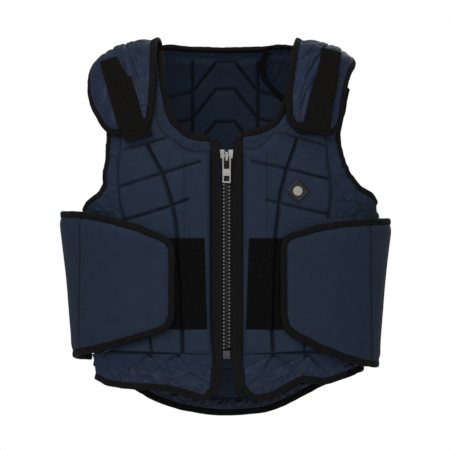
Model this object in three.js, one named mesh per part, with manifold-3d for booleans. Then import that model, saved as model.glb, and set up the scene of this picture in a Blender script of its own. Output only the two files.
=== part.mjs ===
// Padded riding vest with a front zip, modelled in the form that it has when worn.
// Millimetres. The front faces -Y, the wearer's left is +X, up is +Z.
// The origin lies midway between the shoulders, where the vest rests on the wearer.
import * as THREE from 'three';
import { mergeVertices } from 'three/addons/utils/BufferGeometryUtils.js';
import ManifoldModule from 'manifold-3d';

const wasm = await ManifoldModule();
wasm.setup();

// Overall sizes
const HEIGHT = 490;
const HALF_WIDTH = 214.5;
const HALF_DEPTH = 107;
const TOP_ABOVE_REST = 15.6;
const SEAM_GAP = 0.3;
const REST_GAP = 0.4;

// The wearer's body under the vest: superellipse sections that close over the shoulders
const BODY_POWER = 2.4;
const CHEST_DOWN = 0.297;
const SHOULDER_ARC = 110;
const CREST_SHARE = { middle: 0.0115, bow: 0.053, droop: 0.048, reach: 0.842 };
const BOW_POWER = 2;
const DROOP_POWER = 10;

// Foam and cloth
const FRONT_FOAM = 16;
const BACK_FOAM = 18;
const TAB_FOAM = 12;
const YOKE_FOAM = 9;
const WING_FOAM = 8;
const RIM_WALL = 5.5;
const RIM_LIFT = 4.5;
const CLOTH_WALL = 2.6;
const TAPE_WALL = 1.5;
const CHANNEL_DEPTH = 5;
const LINING_CHANNEL = 2.5;
const CHANNEL_HALF = 0.016;
const CHANNEL_ROOM = 10;
const SEAM_STEP = 0.02;

// Edge binding
const BINDING_WIDTH = 8.5;
const BINDING_SHOULDER = 0.7;
const BINDING_GAP = 0.5;
const BINDING_PROUD = 0.8;

// Zip
const CHAIN_HALF = 4.7;
const CHAIN_WALL = 4.4;
const CHAIN_PITCH = 10;
const CHAIN_RIB = 0.5;
const ZIP_LIFT = 8.6;

const TOP_Z = TOP_ABOVE_REST;
const CHEST_Z = TOP_Z - CHEST_DOWN * HEIGHT;

// Body sections: down = share of HEIGHT under the top, wide = share of HALF_WIDTH, deep = share of HALF_DEPTH
const BODY_SECTIONS = [
  { down: 0.297, wide: 0.914, deep: 0.804 },
  { down: 0.400, wide: 0.900, deep: 0.813 },
  { down: 0.496, wide: 0.884, deep: 0.804 },
  { down: 0.642, wide: 0.848, deep: 0.776 },
  { down: 0.828, wide: 0.816, deep: 0.785 },
  { down: 1.000, wide: 0.825, deep: 0.804 },
];

// Front foam panels, a row per section from the end of the shoulder tab to the foot of the foam.
// neck and arm = the two ends of the section as [across, down], in shares of HALF_WIDTH and HEIGHT; curve =
// across of the long curved channel, column = across of the short outer channel, rim = width of the loose rim
// at the neck end, groove = 1 where a channel runs along the section.
const FRONT_RIGHT = [
  { neck: [0.430, 0.037], arm: [0.697, 0.058], curve: 0.539, column: 0.648, rim: 0.05, groove: 0 },
  { neck: [0.424, 0.074], arm: [0.727, 0.098], curve: 0.533, column: 0.667, rim: 0.05, groove: 0 },
  { neck: [0.413, 0.122], arm: [0.739, 0.146], curve: 0.527, column: 0.673, rim: 0.05, groove: 0 },
  { neck: [0.382, 0.188], arm: [0.733, 0.202], curve: 0.520, column: 0.673, rim: 0.06, groove: 0 },
  { neck: [0.350, 0.223], arm: [0.720, 0.252], curve: 0.514, column: 0.667, rim: 0.07, groove: 0 },
  { neck: [0.312, 0.240], arm: [0.726, 0.300], curve: 0.505, column: 0.667, rim: 0.07, groove: 1 },
  { neck: [0.248, 0.263], arm: [0.731, 0.326], curve: 0.480, column: 0.667, rim: 0.055, groove: 0 },
  { neck: [0.170, 0.273], arm: [0.738, 0.348], curve: 0.456, column: 0.667, rim: 0.035, groove: 0 },
  { neck: [0.100, 0.277], arm: [0.750, 0.370], curve: 0.434, column: 0.670, rim: 0.06, groove: 0 },
  { neck: [0.100, 0.319], arm: [0.764, 0.390], curve: 0.396, column: 0.673, rim: 0.02, groove: 1 },
  { neck: [0.100, 0.369], arm: [0.812, 0.421], curve: 0.370, column: 0.656, rim: 0.02, groove: 0 },
  { neck: [0.100, 0.395], arm: [0.890, 0.450], curve: 0.352, column: 0.642, rim: 0.02, groove: 0 },
  { neck: [0.100, 0.408], arm: [0.960, 0.530], curve: 0.334, column: 0.633, rim: 0.02, groove: 1 },
  { neck: [0.100, 0.496], arm: [0.960, 0.575], curve: 0.306, column: 0.624, rim: 0.02, groove: 0 },
  { neck: [0.100, 0.589], arm: [0.925, 0.632], curve: 0.288, column: 0.588, rim: 0.02, groove: 0 },
  { neck: [0.100, 0.642], arm: [0.900, 0.662], curve: 0.281, column: 0.558, rim: 0.02, groove: 0 },
  { neck: [0.100, 0.715], arm: [0.870, 0.728], curve: 0.275, column: 0.515, rim: 0.02, groove: 0 },
  { neck: [0.096, 0.788], arm: [0.842, 0.796], curve: 0.272, column: 0.473, rim: 0.02, groove: 0 },
  { neck: [0.085, 0.838], arm: [0.800, 0.838], curve: 0.270, column: 0.456, rim: 0.02, groove: 0 },
];
const FRONT_LEFT = [
  { neck: [0.445, 0.037], arm: [0.661, 0.053], curve: 0.530, column: 0.620, rim: 0.05, groove: 0 },
  { neck: [0.438, 0.074], arm: [0.685, 0.095], curve: 0.520, column: 0.630, rim: 0.05, groove: 0 },
  { neck: [0.424, 0.122], arm: [0.691, 0.143], curve: 0.505, column: 0.630, rim: 0.05, groove: 0 },
  { neck: [0.388, 0.175], arm: [0.682, 0.191], curve: 0.490, column: 0.625, rim: 0.06, groove: 0 },
  { neck: [0.352, 0.207], arm: [0.680, 0.239], curve: 0.472, column: 0.620, rim: 0.07, groove: 0 },
  { neck: [0.315, 0.229], arm: [0.688, 0.285], curve: 0.453, column: 0.620, rim: 0.07, groove: 1 },
  { neck: [0.255, 0.245], arm: [0.700, 0.313], curve: 0.433, column: 0.628, rim: 0.055, groove: 0 },
  { neck: [0.182, 0.257], arm: [0.712, 0.334], curve: 0.417, column: 0.636, rim: 0.035, groove: 0 },
  { neck: [0.100, 0.265], arm: [0.726, 0.357], curve: 0.404, column: 0.642, rim: 0.06, groove: 0 },
  { neck: [0.100, 0.320], arm: [0.750, 0.380], curve: 0.366, column: 0.648, rim: 0.02, groove: 1 },
  { neck: [0.100, 0.369], arm: [0.812, 0.414], curve: 0.349, column: 0.642, rim: 0.02, groove: 0 },
  { neck: [0.100, 0.395], arm: [0.905, 0.441], curve: 0.337, column: 0.636, rim: 0.02, groove: 0 },
  { neck: [0.100, 0.412], arm: [0.955, 0.495], curve: 0.326, column: 0.632, rim: 0.02, groove: 1 },
  { neck: [0.100, 0.496], arm: [0.960, 0.545], curve: 0.304, column: 0.624, rim: 0.02, groove: 0 },
  { neck: [0.100, 0.589], arm: [0.922, 0.618], curve: 0.290, column: 0.588, rim: 0.02, groove: 0 },
  { neck: [0.100, 0.642], arm: [0.900, 0.656], curve: 0.284, column: 0.552, rim: 0.02, groove: 0 },
  { neck: [0.100, 0.715], arm: [0.870, 0.728], curve: 0.280, column: 0.510, rim: 0.02, groove: 0 },
  { neck: [0.100, 0.788], arm: [0.842, 0.796], curve: 0.279, column: 0.479, rim: 0.02, groove: 0 },
  { neck: [0.100, 0.838], arm: [0.776, 0.838], curve: 0.283, column: 0.476, rim: 0.02, groove: 0 },
];
const ARM_RIM = 0.065;
const TAB_ROWS = 5;
const COLUMN_ROWS = { first: 9, last: 12 };
const CURVE_FIRST_ROW = 5;
const CHANNEL_ROW_STEP = 0.08;

// Grid rows and columns along which binding is sewn
const FRONT_BOUND = { neckEnd: 10, armStart: 3, armEnd: 15 };
const BACK_BOUND = { neckReach: 5, armStart: 2, armEnd: 16 };

// Back foam panel: down of each chevron at the middle, and the across where its row ends at the arm or side
const BACK_ROWS = [
  { down: 0.070, end: 0.685, groove: 1 },
  { down: 0.141, end: 0.655, groove: 1 },
  { down: 0.225, end: 0.672, groove: 1 },
  { down: 0.271, end: 0.706, groove: 0 },
  { down: 0.318, end: 0.775, groove: 1 },
  { down: 0.356, end: 0.840, groove: 0 },
  { down: 0.414, end: 0.860, groove: 1 },
  { down: 0.509, end: 0.840, groove: 1 },
  { down: 0.605, end: 0.820, groove: 1 },
  { down: 0.700, end: 0.800, groove: 1 },
];
const CHEVRON = { flat: 0.073, upright: 0.200, drop: 0.072, slope: 0.088 };
const BACK_NECK = [
  { across: 0.00, down: 0.041 },
  { across: 0.24, down: 0.038 },
  { across: 0.36, down: 0.032 },
  { across: 0.43, down: 0.026 },
];
const BACK_TOP_END = 0.750;
const BACK_FOOT = { middle: 0.878, side: 0.836 };
const BACK_SIDE = 0.80;
const BACK_RIM = 0.06;
const BACK_TOP_ROWS = { rim: 0.008, foam: 0.013 };
const SHOULDER_SEAM_TURN = 110;
const BACK_VIEW_LIFT = 2;

// Yokes: turn = degrees over the shoulder (90 on top, small at the front end), inner and outer = across
const YOKE_RIGHT = [
  { turn: 109.6, inner: 0.465, outer: 0.776 },
  { turn: 95, inner: 0.459, outer: 0.797 },
  { turn: 80, inner: 0.455, outer: 0.812 },
  { turn: 66, inner: 0.455, outer: 0.819 },
  { turn: 52, inner: 0.455, outer: 0.814 },
  { turn: 40, inner: 0.457, outer: 0.799 },
  { turn: 30, inner: 0.464, outer: 0.776 },
  { turn: 21, inner: 0.472, outer: 0.740 },
  { turn: 14, inner: 0.489, outer: 0.706 },
  { turn: 11, inner: 0.521, outer: 0.667 },
];
const YOKE_LEFT = [
  { turn: 109.6, inner: 0.497, outer: 0.752 },
  { turn: 95, inner: 0.491, outer: 0.764 },
  { turn: 80, inner: 0.473, outer: 0.767 },
  { turn: 66, inner: 0.442, outer: 0.758 },
  { turn: 52, inner: 0.421, outer: 0.739 },
  { turn: 40, inner: 0.406, outer: 0.721 },
  { turn: 30, inner: 0.394, outer: 0.697 },
  { turn: 21, inner: 0.391, outer: 0.679 },
  { turn: 14, inner: 0.412, outer: 0.661 },
  { turn: 11, inner: 0.448, outer: 0.630 },
];
const YOKE_SHARES = [0, 0.09, 0.22, 0.4, 0.6, 0.78, 0.91, 1];
const YOKE_SEAT = { onTab: 13.2, onSeam: 1.5, tabTurn: 62, viewLift: 15 };

// Hook tapes on the yokes, from the top end to the sewn block at the foot; out and in = the two edges
const TAPE_RIGHT = [
  { outAcross: 0.764, outDown: 0.064, inAcross: 0.661, inDown: 0.050 },
  { outAcross: 0.729, outDown: 0.119, inAcross: 0.600, inDown: 0.103 },
  { outAcross: 0.728, outDown: 0.121, inAcross: 0.576, inDown: 0.102 },
  { outAcross: 0.697, outDown: 0.170, inAcross: 0.545, inDown: 0.151 },
  { outAcross: 0.655, outDown: 0.236, inAcross: 0.503, inDown: 0.219 },
  { outAcross: 0.650, outDown: 0.244, inAcross: 0.478, inDown: 0.227 },
  { outAcross: 0.609, outDown: 0.277, inAcross: 0.448, inDown: 0.259 },
];
const TAPE_LEFT = [
  { outAcross: 0.697, outDown: 0.040, inAcross: 0.576, inDown: 0.027 },
  { outAcross: 0.672, outDown: 0.115, inAcross: 0.552, inDown: 0.098 },
  { outAcross: 0.671, outDown: 0.117, inAcross: 0.542, inDown: 0.099 },
  { outAcross: 0.648, outDown: 0.170, inAcross: 0.509, inDown: 0.150 },
  { outAcross: 0.625, outDown: 0.240, inAcross: 0.467, inDown: 0.222 },
  { outAcross: 0.640, outDown: 0.246, inAcross: 0.430, inDown: 0.226 },
  { outAcross: 0.618, outDown: 0.263, inAcross: 0.424, inDown: 0.240 },
];
const TAPE_STEPS = 3;
const TAPE_COLUMNS = 4;
const TAPE_LONG_ROW = 0.02;

// Wings: a row per upright section from the front edge round the side (across past 1) to the back
const WING_RIGHT = [
  { across: 0.355, top: 0.562, foot: 0.737 },
  { across: 0.376, top: 0.545, foot: 0.756 },
  { across: 0.418, top: 0.536, foot: 0.767 },
  { across: 0.545, top: 0.513, foot: 0.785 },
  { across: 0.703, top: 0.493, foot: 0.805 },
  { across: 0.830, top: 0.482, foot: 0.819 },
  { across: 0.920, top: 0.477, foot: 0.826 },
  { across: 1.085, top: 0.476, foot: 0.836 },
  { across: 1.160, top: 0.479, foot: 0.838 },
];
const WING_LEFT = [
  { across: 0.370, top: 0.552, foot: 0.737 },
  { across: 0.388, top: 0.537, foot: 0.764 },
  { across: 0.442, top: 0.528, foot: 0.782 },
  { across: 0.582, top: 0.511, foot: 0.813 },
  { across: 0.720, top: 0.502, foot: 0.838 },
  { across: 0.830, top: 0.498, foot: 0.853 },
  { across: 0.920, top: 0.496, foot: 0.858 },
  { across: 1.085, top: 0.495, foot: 0.853 },
  { across: 1.160, top: 0.495, foot: 0.848 },
];
const WING_SHARES = [0, 0.06, 0.35, 0.65, 0.94, 1];
const WING_TURN = 0.7;
const WING_SEAT = 0.9;

// Loop fields: top and foot (down), the inner edge (across) at both, the outer edge under the wing
const LOOP_FIELD = { top: 0.531, foot: 0.772, innerTop: 0.135, innerFoot: 0.117, outer: 0.372 };
const LOOP_GRID = { across: 4, down: 4 };

// Front skirts: top and hem across, and the down of the hem
const SKIRT_RIGHT = [
  { topAcross: 0.083, hemAcross: 0.107, hem: 0.944 },
  { topAcross: 0.236, hemAcross: 0.236, hem: 0.932 },
  { topAcross: 0.394, hemAcross: 0.394, hem: 0.919 },
  { topAcross: 0.552, hemAcross: 0.552, hem: 0.915 },
  { topAcross: 0.700, hemAcross: 0.700, hem: 0.907 },
  { topAcross: 0.800, hemAcross: 0.788, hem: 0.892 },
];
const SKIRT_LEFT = [
  { topAcross: 0.099, hemAcross: 0.152, hem: 0.944 },
  { topAcross: 0.248, hemAcross: 0.248, hem: 0.941 },
  { topAcross: 0.358, hemAcross: 0.358, hem: 0.917 },
  { topAcross: 0.467, hemAcross: 0.467, hem: 0.896 },
  { topAcross: 0.582, hemAcross: 0.582, hem: 0.902 },
  { topAcross: 0.776, hemAcross: 0.715, hem: 0.886 },
];
const SKIRT_TOP = 0.8392;
const SKIRT_LIFT = 8;
const SKIRT_STEPS = 3;
const SKIRT_ROWS = 3;
const RIPPLE_REACH = 0.8;
const FRONT_RIPPLE = { depth: 1.8, pitch: 0.075 };

// Back skirt: signed across (wearer's left is positive) and the down of the hem
const BACK_SKIRT = [
  { across: -0.80, hem: 0.862 },
  { across: -0.58, hem: 0.912 },
  { across: -0.37, hem: 0.964 },
  { across: -0.20, hem: 0.982 },
  { across: 0.00, hem: 0.990 },
  { across: 0.20, hem: 0.983 },
  { across: 0.33, hem: 0.962 },
  { across: 0.57, hem: 0.903 },
  { across: 0.73, hem: 0.878 },
  { across: 0.80, hem: 0.858 },
];
const BACK_SKIRT_STEPS = 2;
const BACK_RIPPLE = { depth: 2.2, pitch: 0.11 };

// Zip tapes: down of the section, across of the chain side and of the foam side
const ZIP_TAPE_RIGHT = [
  { down: 0.271, chain: 0.048, foam: 0.094 },
  { down: 0.300, chain: 0.026, foam: 0.094 },
  { down: 0.410, chain: 0.024, foam: 0.094 },
  { down: 0.589, chain: 0.024, foam: 0.094 },
  { down: 0.720, chain: 0.024, foam: 0.094 },
  { down: 0.788, chain: 0.024, foam: 0.088 },
  { down: 0.846, chain: 0.024, foam: 0.077 },
  { down: 0.900, chain: 0.034, foam: 0.088 },
  { down: 0.952, chain: 0.050, foam: 0.103 },
];
const ZIP_TAPE_LEFT = [
  { down: 0.262, chain: 0.060, foam: 0.094 },
  { down: 0.296, chain: 0.026, foam: 0.094 },
  { down: 0.410, chain: 0.024, foam: 0.094 },
  { down: 0.589, chain: 0.024, foam: 0.094 },
  { down: 0.720, chain: 0.024, foam: 0.094 },
  { down: 0.846, chain: 0.026, foam: 0.094 },
  { down: 0.900, chain: 0.034, foam: 0.105 },
  { down: 0.952, chain: 0.062, foam: 0.147 },
];
const ZIP_CHAIN = { top: 0.330, foot: 0.828 };
const ZIP_BOX = { foot: 0.850, wall: 5.4 };

// Slider and pull, sizes along X, Y and Z about the hinge line of the pull
const SLIDER = {
  down: 0.312, top: 7.5, foot: -13.2, headHalf: 8.7, footHalf: 6.6, wall: 1.3, channel: 5.2,
  post: 3, postFoot: 1, postTop: 6.5,
  bridgeHalf: 1.6, bridgeTop: 4.6, bridgeFoot: -6.6, bridgeLeg: 2, bridgeWall: 1.2, bridgeRoom: 3.4,
};
const PULL = {
  half: 5.4, wall: 1.8, bar: 1.8, side: 1.7, length: 36.5, windowFoot: -17.5, holeTop: -26.5, holeFoot: -33.5,
};

// Badge: a small square on its corner with a plain disc
const BADGE = { across: 0.430, down: 0.406, halfDiagonal: 15.6, discRadius: 6.2, wall: 1.6, discWall: 1.2 };
const BADGE_STEPS = 3;
const DISC_SIDES = 16;
const TILT_STEP = 0.01;

const COLOURS = {
  navy: 0x26334b, satin: 0x2c3c5b, binding: 0x1a1816, tape: 0x141414, loop: 0x0f0f0f,
  chain: 0x3c3c3e, metal: 0xc9c9c9, badge: 0x1d1715, disc: 0xb9b5ac,
};

const quilt = finish('foam_cover', COLOURS.navy, 0.75);
const satin = finish('satin_cloth', COLOURS.satin, 0.55);
const binding = finish('edge_binding', COLOURS.binding, 0.85);
const hookTape = finish('hook_tape', COLOURS.tape, 0.9);
const loopPile = finish('loop_pile', COLOURS.loop, 1);
const chainPlastic = finish('chain_plastic', COLOURS.chain, 0.4);
const nickel = finish('nickel', COLOURS.metal, 0.25, 1);
const badgeFace = finish('badge_face', COLOURS.badge, 0.5);
const badgeDisc = finish('badge_disc', COLOURS.disc, 0.4);

function finish(name, color, roughness, metalness = 0) {
  return new THREE.MeshStandardMaterial({ name, color, roughness, metalness });
}

function mix(a, b, share) {
  return a + (b - a) * share;
}

function smooth(from, to, value) {
  const share = Math.min(1, Math.max(0, (value - from) / (to - from)));
  return share * share * (3 - 2 * share);
}

// Value of one column of a table at a position along another column
function lookUp(table, key, column, value) {
  const last = table.length - 1;
  if (value <= table[0][key]) return table[0][column];
  for (let i = 0; i < last; i += 1) {
    const here = table[i];
    const next = table[i + 1];
    if (value <= next[key]) {
      return mix(here[column], next[column], (value - here[key]) / (next[key] - here[key]));
    }
  }
  return table[last][column];
}

function heightOf(down) {
  return TOP_Z - down * HEIGHT;
}

function crestOf(across) {
  const reach = Math.abs(across) / CREST_SHARE.reach;
  const fall = CREST_SHARE.bow * reach ** BOW_POWER + CREST_SHARE.droop * reach ** DROOP_POWER;
  return heightOf(CREST_SHARE.middle + fall);
}

function bodyHalf(z, column, size) {
  const down = Math.max(CHEST_DOWN, (TOP_Z - z) / HEIGHT);
  return lookUp(BODY_SECTIONS, 'down', column, down) * size;
}

function signedPower(value, power) {
  return Math.sign(value) * Math.abs(value) ** power;
}

// Point at an angle round the body (0 at the front, positive to the wearer's left), a climb (mm of height
// up to the chest line, then arc over the shoulder) and a lift off the body
function bodyPoint({ turn, climb }, lift) {
  const over = Math.max(0, climb) / SHOULDER_ARC;
  const level = CHEST_Z + Math.min(0, climb);
  const x = (bodyHalf(level, 'wide', HALF_WIDTH) + lift) * signedPower(Math.sin(turn), 2 / BODY_POWER);
  const depth = (bodyHalf(level, 'deep', HALF_DEPTH) + lift) * signedPower(Math.cos(turn), 2 / BODY_POWER);
  const rise = crestOf(x / HALF_WIDTH) + lift - CHEST_Z;
  return new THREE.Vector3(x, -depth * Math.cos(over), climb > 0 ? CHEST_Z + rise * Math.sin(over) : level);
}

// Place on the body seen from the front at (across, down); side is 1 or -1, and an across past 1 goes round
// to the back
function seen(side, across, down, lift) {
  const z = heightOf(down);
  const share = across > 1 ? 2 - across : across;
  const reach = Math.min(1, (share * HALF_WIDTH) / (bodyHalf(z, 'wide', HALF_WIDTH) + lift));
  const angle = Math.asin(reach ** (BODY_POWER / 2));
  const turn = side * (across > 1 ? Math.PI - angle : angle);
  if (z <= CHEST_Z) return { turn, climb: z - CHEST_Z };
  const rise = Math.min(1, (z - CHEST_Z) / (crestOf(share) + lift - CHEST_Z));
  return { turn, climb: Math.asin(rise) * SHOULDER_ARC };
}

function seenBehind(side, across, down, lift) {
  const front = seen(side, across, down, lift);
  return { turn: side * (Math.PI - Math.abs(front.turn)), climb: front.climb };
}

function overShoulder(side, across, degrees, lift) {
  const reach = (across * HALF_WIDTH) / (bodyHalf(CHEST_Z, 'wide', HALF_WIDTH) + lift);
  const turn = side * Math.asin(reach ** (BODY_POWER / 2));
  return { turn, climb: THREE.MathUtils.degToRad(degrees) * SHOULDER_ARC };
}

function stationBetween(from, to, share) {
  return { turn: mix(from.turn, to.turn, share), climb: mix(from.climb, to.climb, share) };
}

// Closed solid from two grids of points [row][column], one on each face
function shellGeometry(outer, inner) {
  const rows = outer.length;
  const columns = outer[0].length;
  const points = [...outer.flat(), ...inner.flat()];
  const out = (i, j) => i * columns + j;
  const inn = (i, j) => rows * columns + i * columns + j;
  const faces = [];
  const quad = (a, b, c, d) => faces.push([a, b, c], [a, c, d]);
  for (let i = 0; i + 1 < rows; i += 1) {
    for (let j = 0; j + 1 < columns; j += 1) {
      quad(out(i, j), out(i + 1, j), out(i + 1, j + 1), out(i, j + 1));
      quad(inn(i, j), inn(i, j + 1), inn(i + 1, j + 1), inn(i + 1, j));
    }
    quad(out(i, 0), inn(i, 0), inn(i + 1, 0), out(i + 1, 0));
    quad(out(i + 1, columns - 1), inn(i + 1, columns - 1), inn(i, columns - 1), out(i, columns - 1));
  }
  for (let j = 0; j + 1 < columns; j += 1) {
    quad(out(0, j + 1), inn(0, j + 1), inn(0, j), out(0, j));
    quad(out(rows - 1, j), inn(rows - 1, j), inn(rows - 1, j + 1), out(rows - 1, j + 1));
  }
  return facesGeometry(points, faces);
}

function facesGeometry(points, faces) {
  const volume = faces.reduce((sum, [a, b, c]) => sum + points[a].dot(points[b].clone().cross(points[c])), 0);
  const facing = volume > 0 ? faces : faces.map(([a, b, c]) => [a, c, b]);
  const geometry = new THREE.BufferGeometry();
  geometry.setAttribute('position', new THREE.Float32BufferAttribute(points.flatMap((p) => p.toArray()), 3));
  geometry.setIndex(facing.flat());
  geometry.computeVertexNormals();
  return geometry;
}

// A panel is a grid of cells { place, low, high }: a place on the body and the lift of its two faces
function panelFaces(grid) {
  const outer = grid.map((row) => row.map((cell) => bodyPoint(cell.place, cell.high)));
  const inner = grid.map((row) => row.map((cell) => bodyPoint(cell.place, cell.low)));
  return { outer, inner };
}

function panelGeometry(grid) {
  const { outer, inner } = panelFaces(grid);
  return shellGeometry(outer, inner);
}

function makePiece(name, geometry, material) {
  const piece = new THREE.Mesh(geometry, material);
  piece.name = name;
  return piece;
}

// Points moved off the ends of the sections, square to the line of those ends
function rimPoints(ends, towards, widths) {
  return ends.map(([across, down], i) => {
    const before = ends[Math.max(0, i - 1)];
    const after = ends[Math.min(ends.length - 1, i + 1)];
    const alongX = (after[0] - before[0]) * HALF_WIDTH;
    const alongZ = (after[1] - before[1]) * HEIGHT;
    const shift = (towards * widths[i] * HALF_WIDTH) / Math.hypot(alongX, alongZ);
    return [across + (alongZ * shift) / HALF_WIDTH, down - (alongX * shift) / HEIGHT];
  });
}

function frontGrid(side, table) {
  const neck = table.map((row) => row.neck);
  const arm = table.map((row) => row.arm);
  const neckSeam = rimPoints(neck, 1, table.map((row) => row.rim));
  const armSeam = rimPoints(arm, -1, table.map(() => ARM_RIM));
  const lines = { neck, arm, neckSeam, armSeam };
  return table.flatMap((row, i) => {
    const shifts = row.groove ? [-CHANNEL_ROW_STEP, 0, CHANNEL_ROW_STEP] : [0];
    return shifts.map((shift) => frontRow(side, table, lines, i + shift, shift === 0 ? row.groove : 0));
  });
}

// One section of a front panel at a row position that may lie between two table rows
function frontRow(side, table, lines, position, groove) {
  const index = Math.min(table.length - 2, Math.floor(position));
  const share = position - index;
  const pointOn = (line) => [0, 1].map((k) => mix(line[index][k], line[index + 1][k], share));
  const valueOf = (column) => mix(table[index][column], table[index + 1][column], share);
  const inSeam = pointOn(lines.neckSeam);
  const outSeam = pointOn(lines.armSeam);
  const width = outSeam[0] - inSeam[0];
  const onSection = (across) => [across, mix(inSeam[1], outSeam[1], (across - inSeam[0]) / width)];
  const thick = mix(TAB_FOAM, FRONT_FOAM, smooth(TAB_ROWS, TAB_ROWS + 1, position));
  const full = position === 0 ? RIM_WALL : thick;
  const start = inSeam[0] + SEAM_STEP;
  const end = outSeam[0] - SEAM_STEP;
  const half = Math.min(CHANNEL_HALF, (end - start) / CHANNEL_ROOM);
  const column = Math.min(valueOf('column'), end - 2 * half);
  const curve = Math.max(start + 3 * half, Math.min(valueOf('curve'), column - 3 * half));
  const onCurve = position >= CURVE_FIRST_ROW ? 1 : groove;
  const onColumn = position >= COLUMN_ROWS.first && position <= COLUMN_ROWS.last ? 1 : groove;
  const foam = (across, cut) => ({ point: onSection(across), low: 0, high: full - cut * CHANNEL_DEPTH });
  const rim = (point) => ({ point, low: RIM_LIFT, high: RIM_LIFT + RIM_WALL });
  const stations = [
    rim(pointOn(lines.neck)),
    rim(inSeam),
    foam(start, groove),
    foam(mix(start, curve, 0.5), groove),
    foam(curve - half, groove),
    foam(curve, onCurve),
    foam(curve + half, groove),
    foam(mix(curve, column, 0.5), groove),
    foam(column - half, groove),
    foam(column, onColumn),
    foam(column + half, groove),
    foam(end, groove),
    rim(outSeam),
    rim(pointOn(lines.arm)),
  ];
  return stations.map(({ point, low, high }) => ({ place: seen(side, ...point, FRONT_FOAM), low, high }));
}

function backDown(middle, across) {
  const steep = Math.min(1, Math.max(0, (across - CHEVRON.flat) / (CHEVRON.upright - CHEVRON.flat)));
  return middle + CHEVRON.drop * steep + CHEVRON.slope * Math.max(0, across - CHEVRON.upright);
}

// Half of one row of the back, from the middle outwards
function backHalfRow(side, placeAt, end, groove, rim) {
  const plain = groove ? [LINING_CHANNEL, BACK_FOAM - CHANNEL_DEPTH] : [0, BACK_FOAM];
  const cut = [LINING_CHANNEL, BACK_FOAM - CHANNEL_DEPTH];
  const thin = [RIM_LIFT, RIM_LIFT + RIM_WALL];
  const seam = end - BACK_RIM;
  const columns = [
    [0, plain],
    [CHEVRON.flat, plain],
    [CHEVRON.upright - CHANNEL_HALF, plain],
    [CHEVRON.upright, cut],
    [CHEVRON.upright + CHANNEL_HALF, plain],
    [mix(CHEVRON.upright, seam, 0.4), plain],
    [mix(CHEVRON.upright, seam, 0.72), plain],
    [seam - SEAM_STEP, plain],
    [seam, thin],
    [end, thin],
  ];
  return columns.map(([across, faces]) => {
    const [low, high] = rim ? thin : faces;
    return { place: placeAt(side, across), low, high };
  });
}

function backRow(placeAt, end, groove, rim) {
  const right = backHalfRow(-1, placeAt, end, groove, rim);
  const left = backHalfRow(1, placeAt, end, groove, rim);
  return [...right.slice(1).reverse(), ...left];
}

// Places along the back's top edge, moved down by a share of HEIGHT
function backTop(shift) {
  const neckEnd = BACK_NECK[BACK_NECK.length - 1].across;
  const seamClimb = THREE.MathUtils.degToRad(180 - SHOULDER_SEAM_TURN) * SHOULDER_ARC - shift * HEIGHT;
  return (side, across) => {
    const neckDown = lookUp(BACK_NECK, 'across', 'down', Math.min(across, neckEnd)) + shift;
    const { turn, climb } = seenBehind(side, across, neckDown, RIM_LIFT);
    return { turn, climb: across >= neckEnd ? seamClimb : Math.min(climb, seamClimb) };
  };
}

function backFoot(across) {
  const share = Math.max(0, across - CHEVRON.upright) / (BACK_SIDE - CHEVRON.upright);
  return mix(BACK_FOOT.middle, BACK_FOOT.side, Math.min(1, share));
}

function backGrid() {
  const rows = [
    backRow(backTop(0), BACK_TOP_END, 0, true),
    backRow(backTop(BACK_TOP_ROWS.rim), BACK_TOP_END - BACK_TOP_ROWS.rim, 0, true),
    backRow(backTop(BACK_TOP_ROWS.foam), BACK_TOP_END - BACK_TOP_ROWS.foam, 0, false),
  ];
  const half = CHANNEL_HALF * 0.5;
  BACK_ROWS.forEach((row) => {
    const shifts = row.groove ? [-half, 0, half] : [0];
    shifts.forEach((shift) => {
      const placeAt = (side, across) => {
        return seenBehind(side, across, backDown(row.down + shift, across), BACK_VIEW_LIFT);
      };
      rows.push(backRow(placeAt, row.end, row.groove && shift === 0, false));
    });
  });
  const foot = (side, across) => seenBehind(side, across, backFoot(across), BACK_VIEW_LIFT);
  rows.push(backRow(foot, BACK_SIDE, 0, false));
  return rows;
}

function yokeSeat(turn) {
  return mix(YOKE_SEAT.onTab, YOKE_SEAT.onSeam, smooth(YOKE_SEAT.tabTurn, SHOULDER_SEAM_TURN, turn));
}

function yokeGrid(side, table) {
  const last = table.length - 1;
  return table.map((row, i) => {
    const seat = yokeSeat(row.turn);
    return YOKE_SHARES.map((share, j) => {
      const atRim = j === 0 || j === YOKE_SHARES.length - 1 || i === last || i === 0;
      const foam = atRim ? RIM_WALL : YOKE_FOAM;
      const across = mix(row.inner, row.outer, share);
      const place = overShoulder(side, across, row.turn, YOKE_SEAT.viewLift);
      return { place, low: seat, high: seat + foam };
    });
  });
}

function shoulderTapeGrid(side, table) {
  const rows = [];
  const last = table.length - 1;
  for (let i = 0; i < last; i += 1) {
    const count = table[i + 1].outDown - table[i].outDown > TAPE_LONG_ROW ? TAPE_STEPS : 1;
    for (let k = 0; k < count; k += 1) rows.push(i + k / count);
  }
  rows.push(last);
  const seat = YOKE_SEAT.onTab + YOKE_FOAM + REST_GAP;
  return rows.map((position) => {
    const index = Math.min(last - 1, Math.floor(position));
    const at = (key) => mix(table[index][key], table[index + 1][key], position - index);
    return steps(TAPE_COLUMNS).map((share) => {
      const across = mix(at('outAcross'), at('inAcross'), share);
      const down = mix(at('outDown'), at('inDown'), share);
      return { place: seen(side, across, down, seat), low: seat, high: seat + TAPE_WALL };
    });
  });
}

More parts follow.
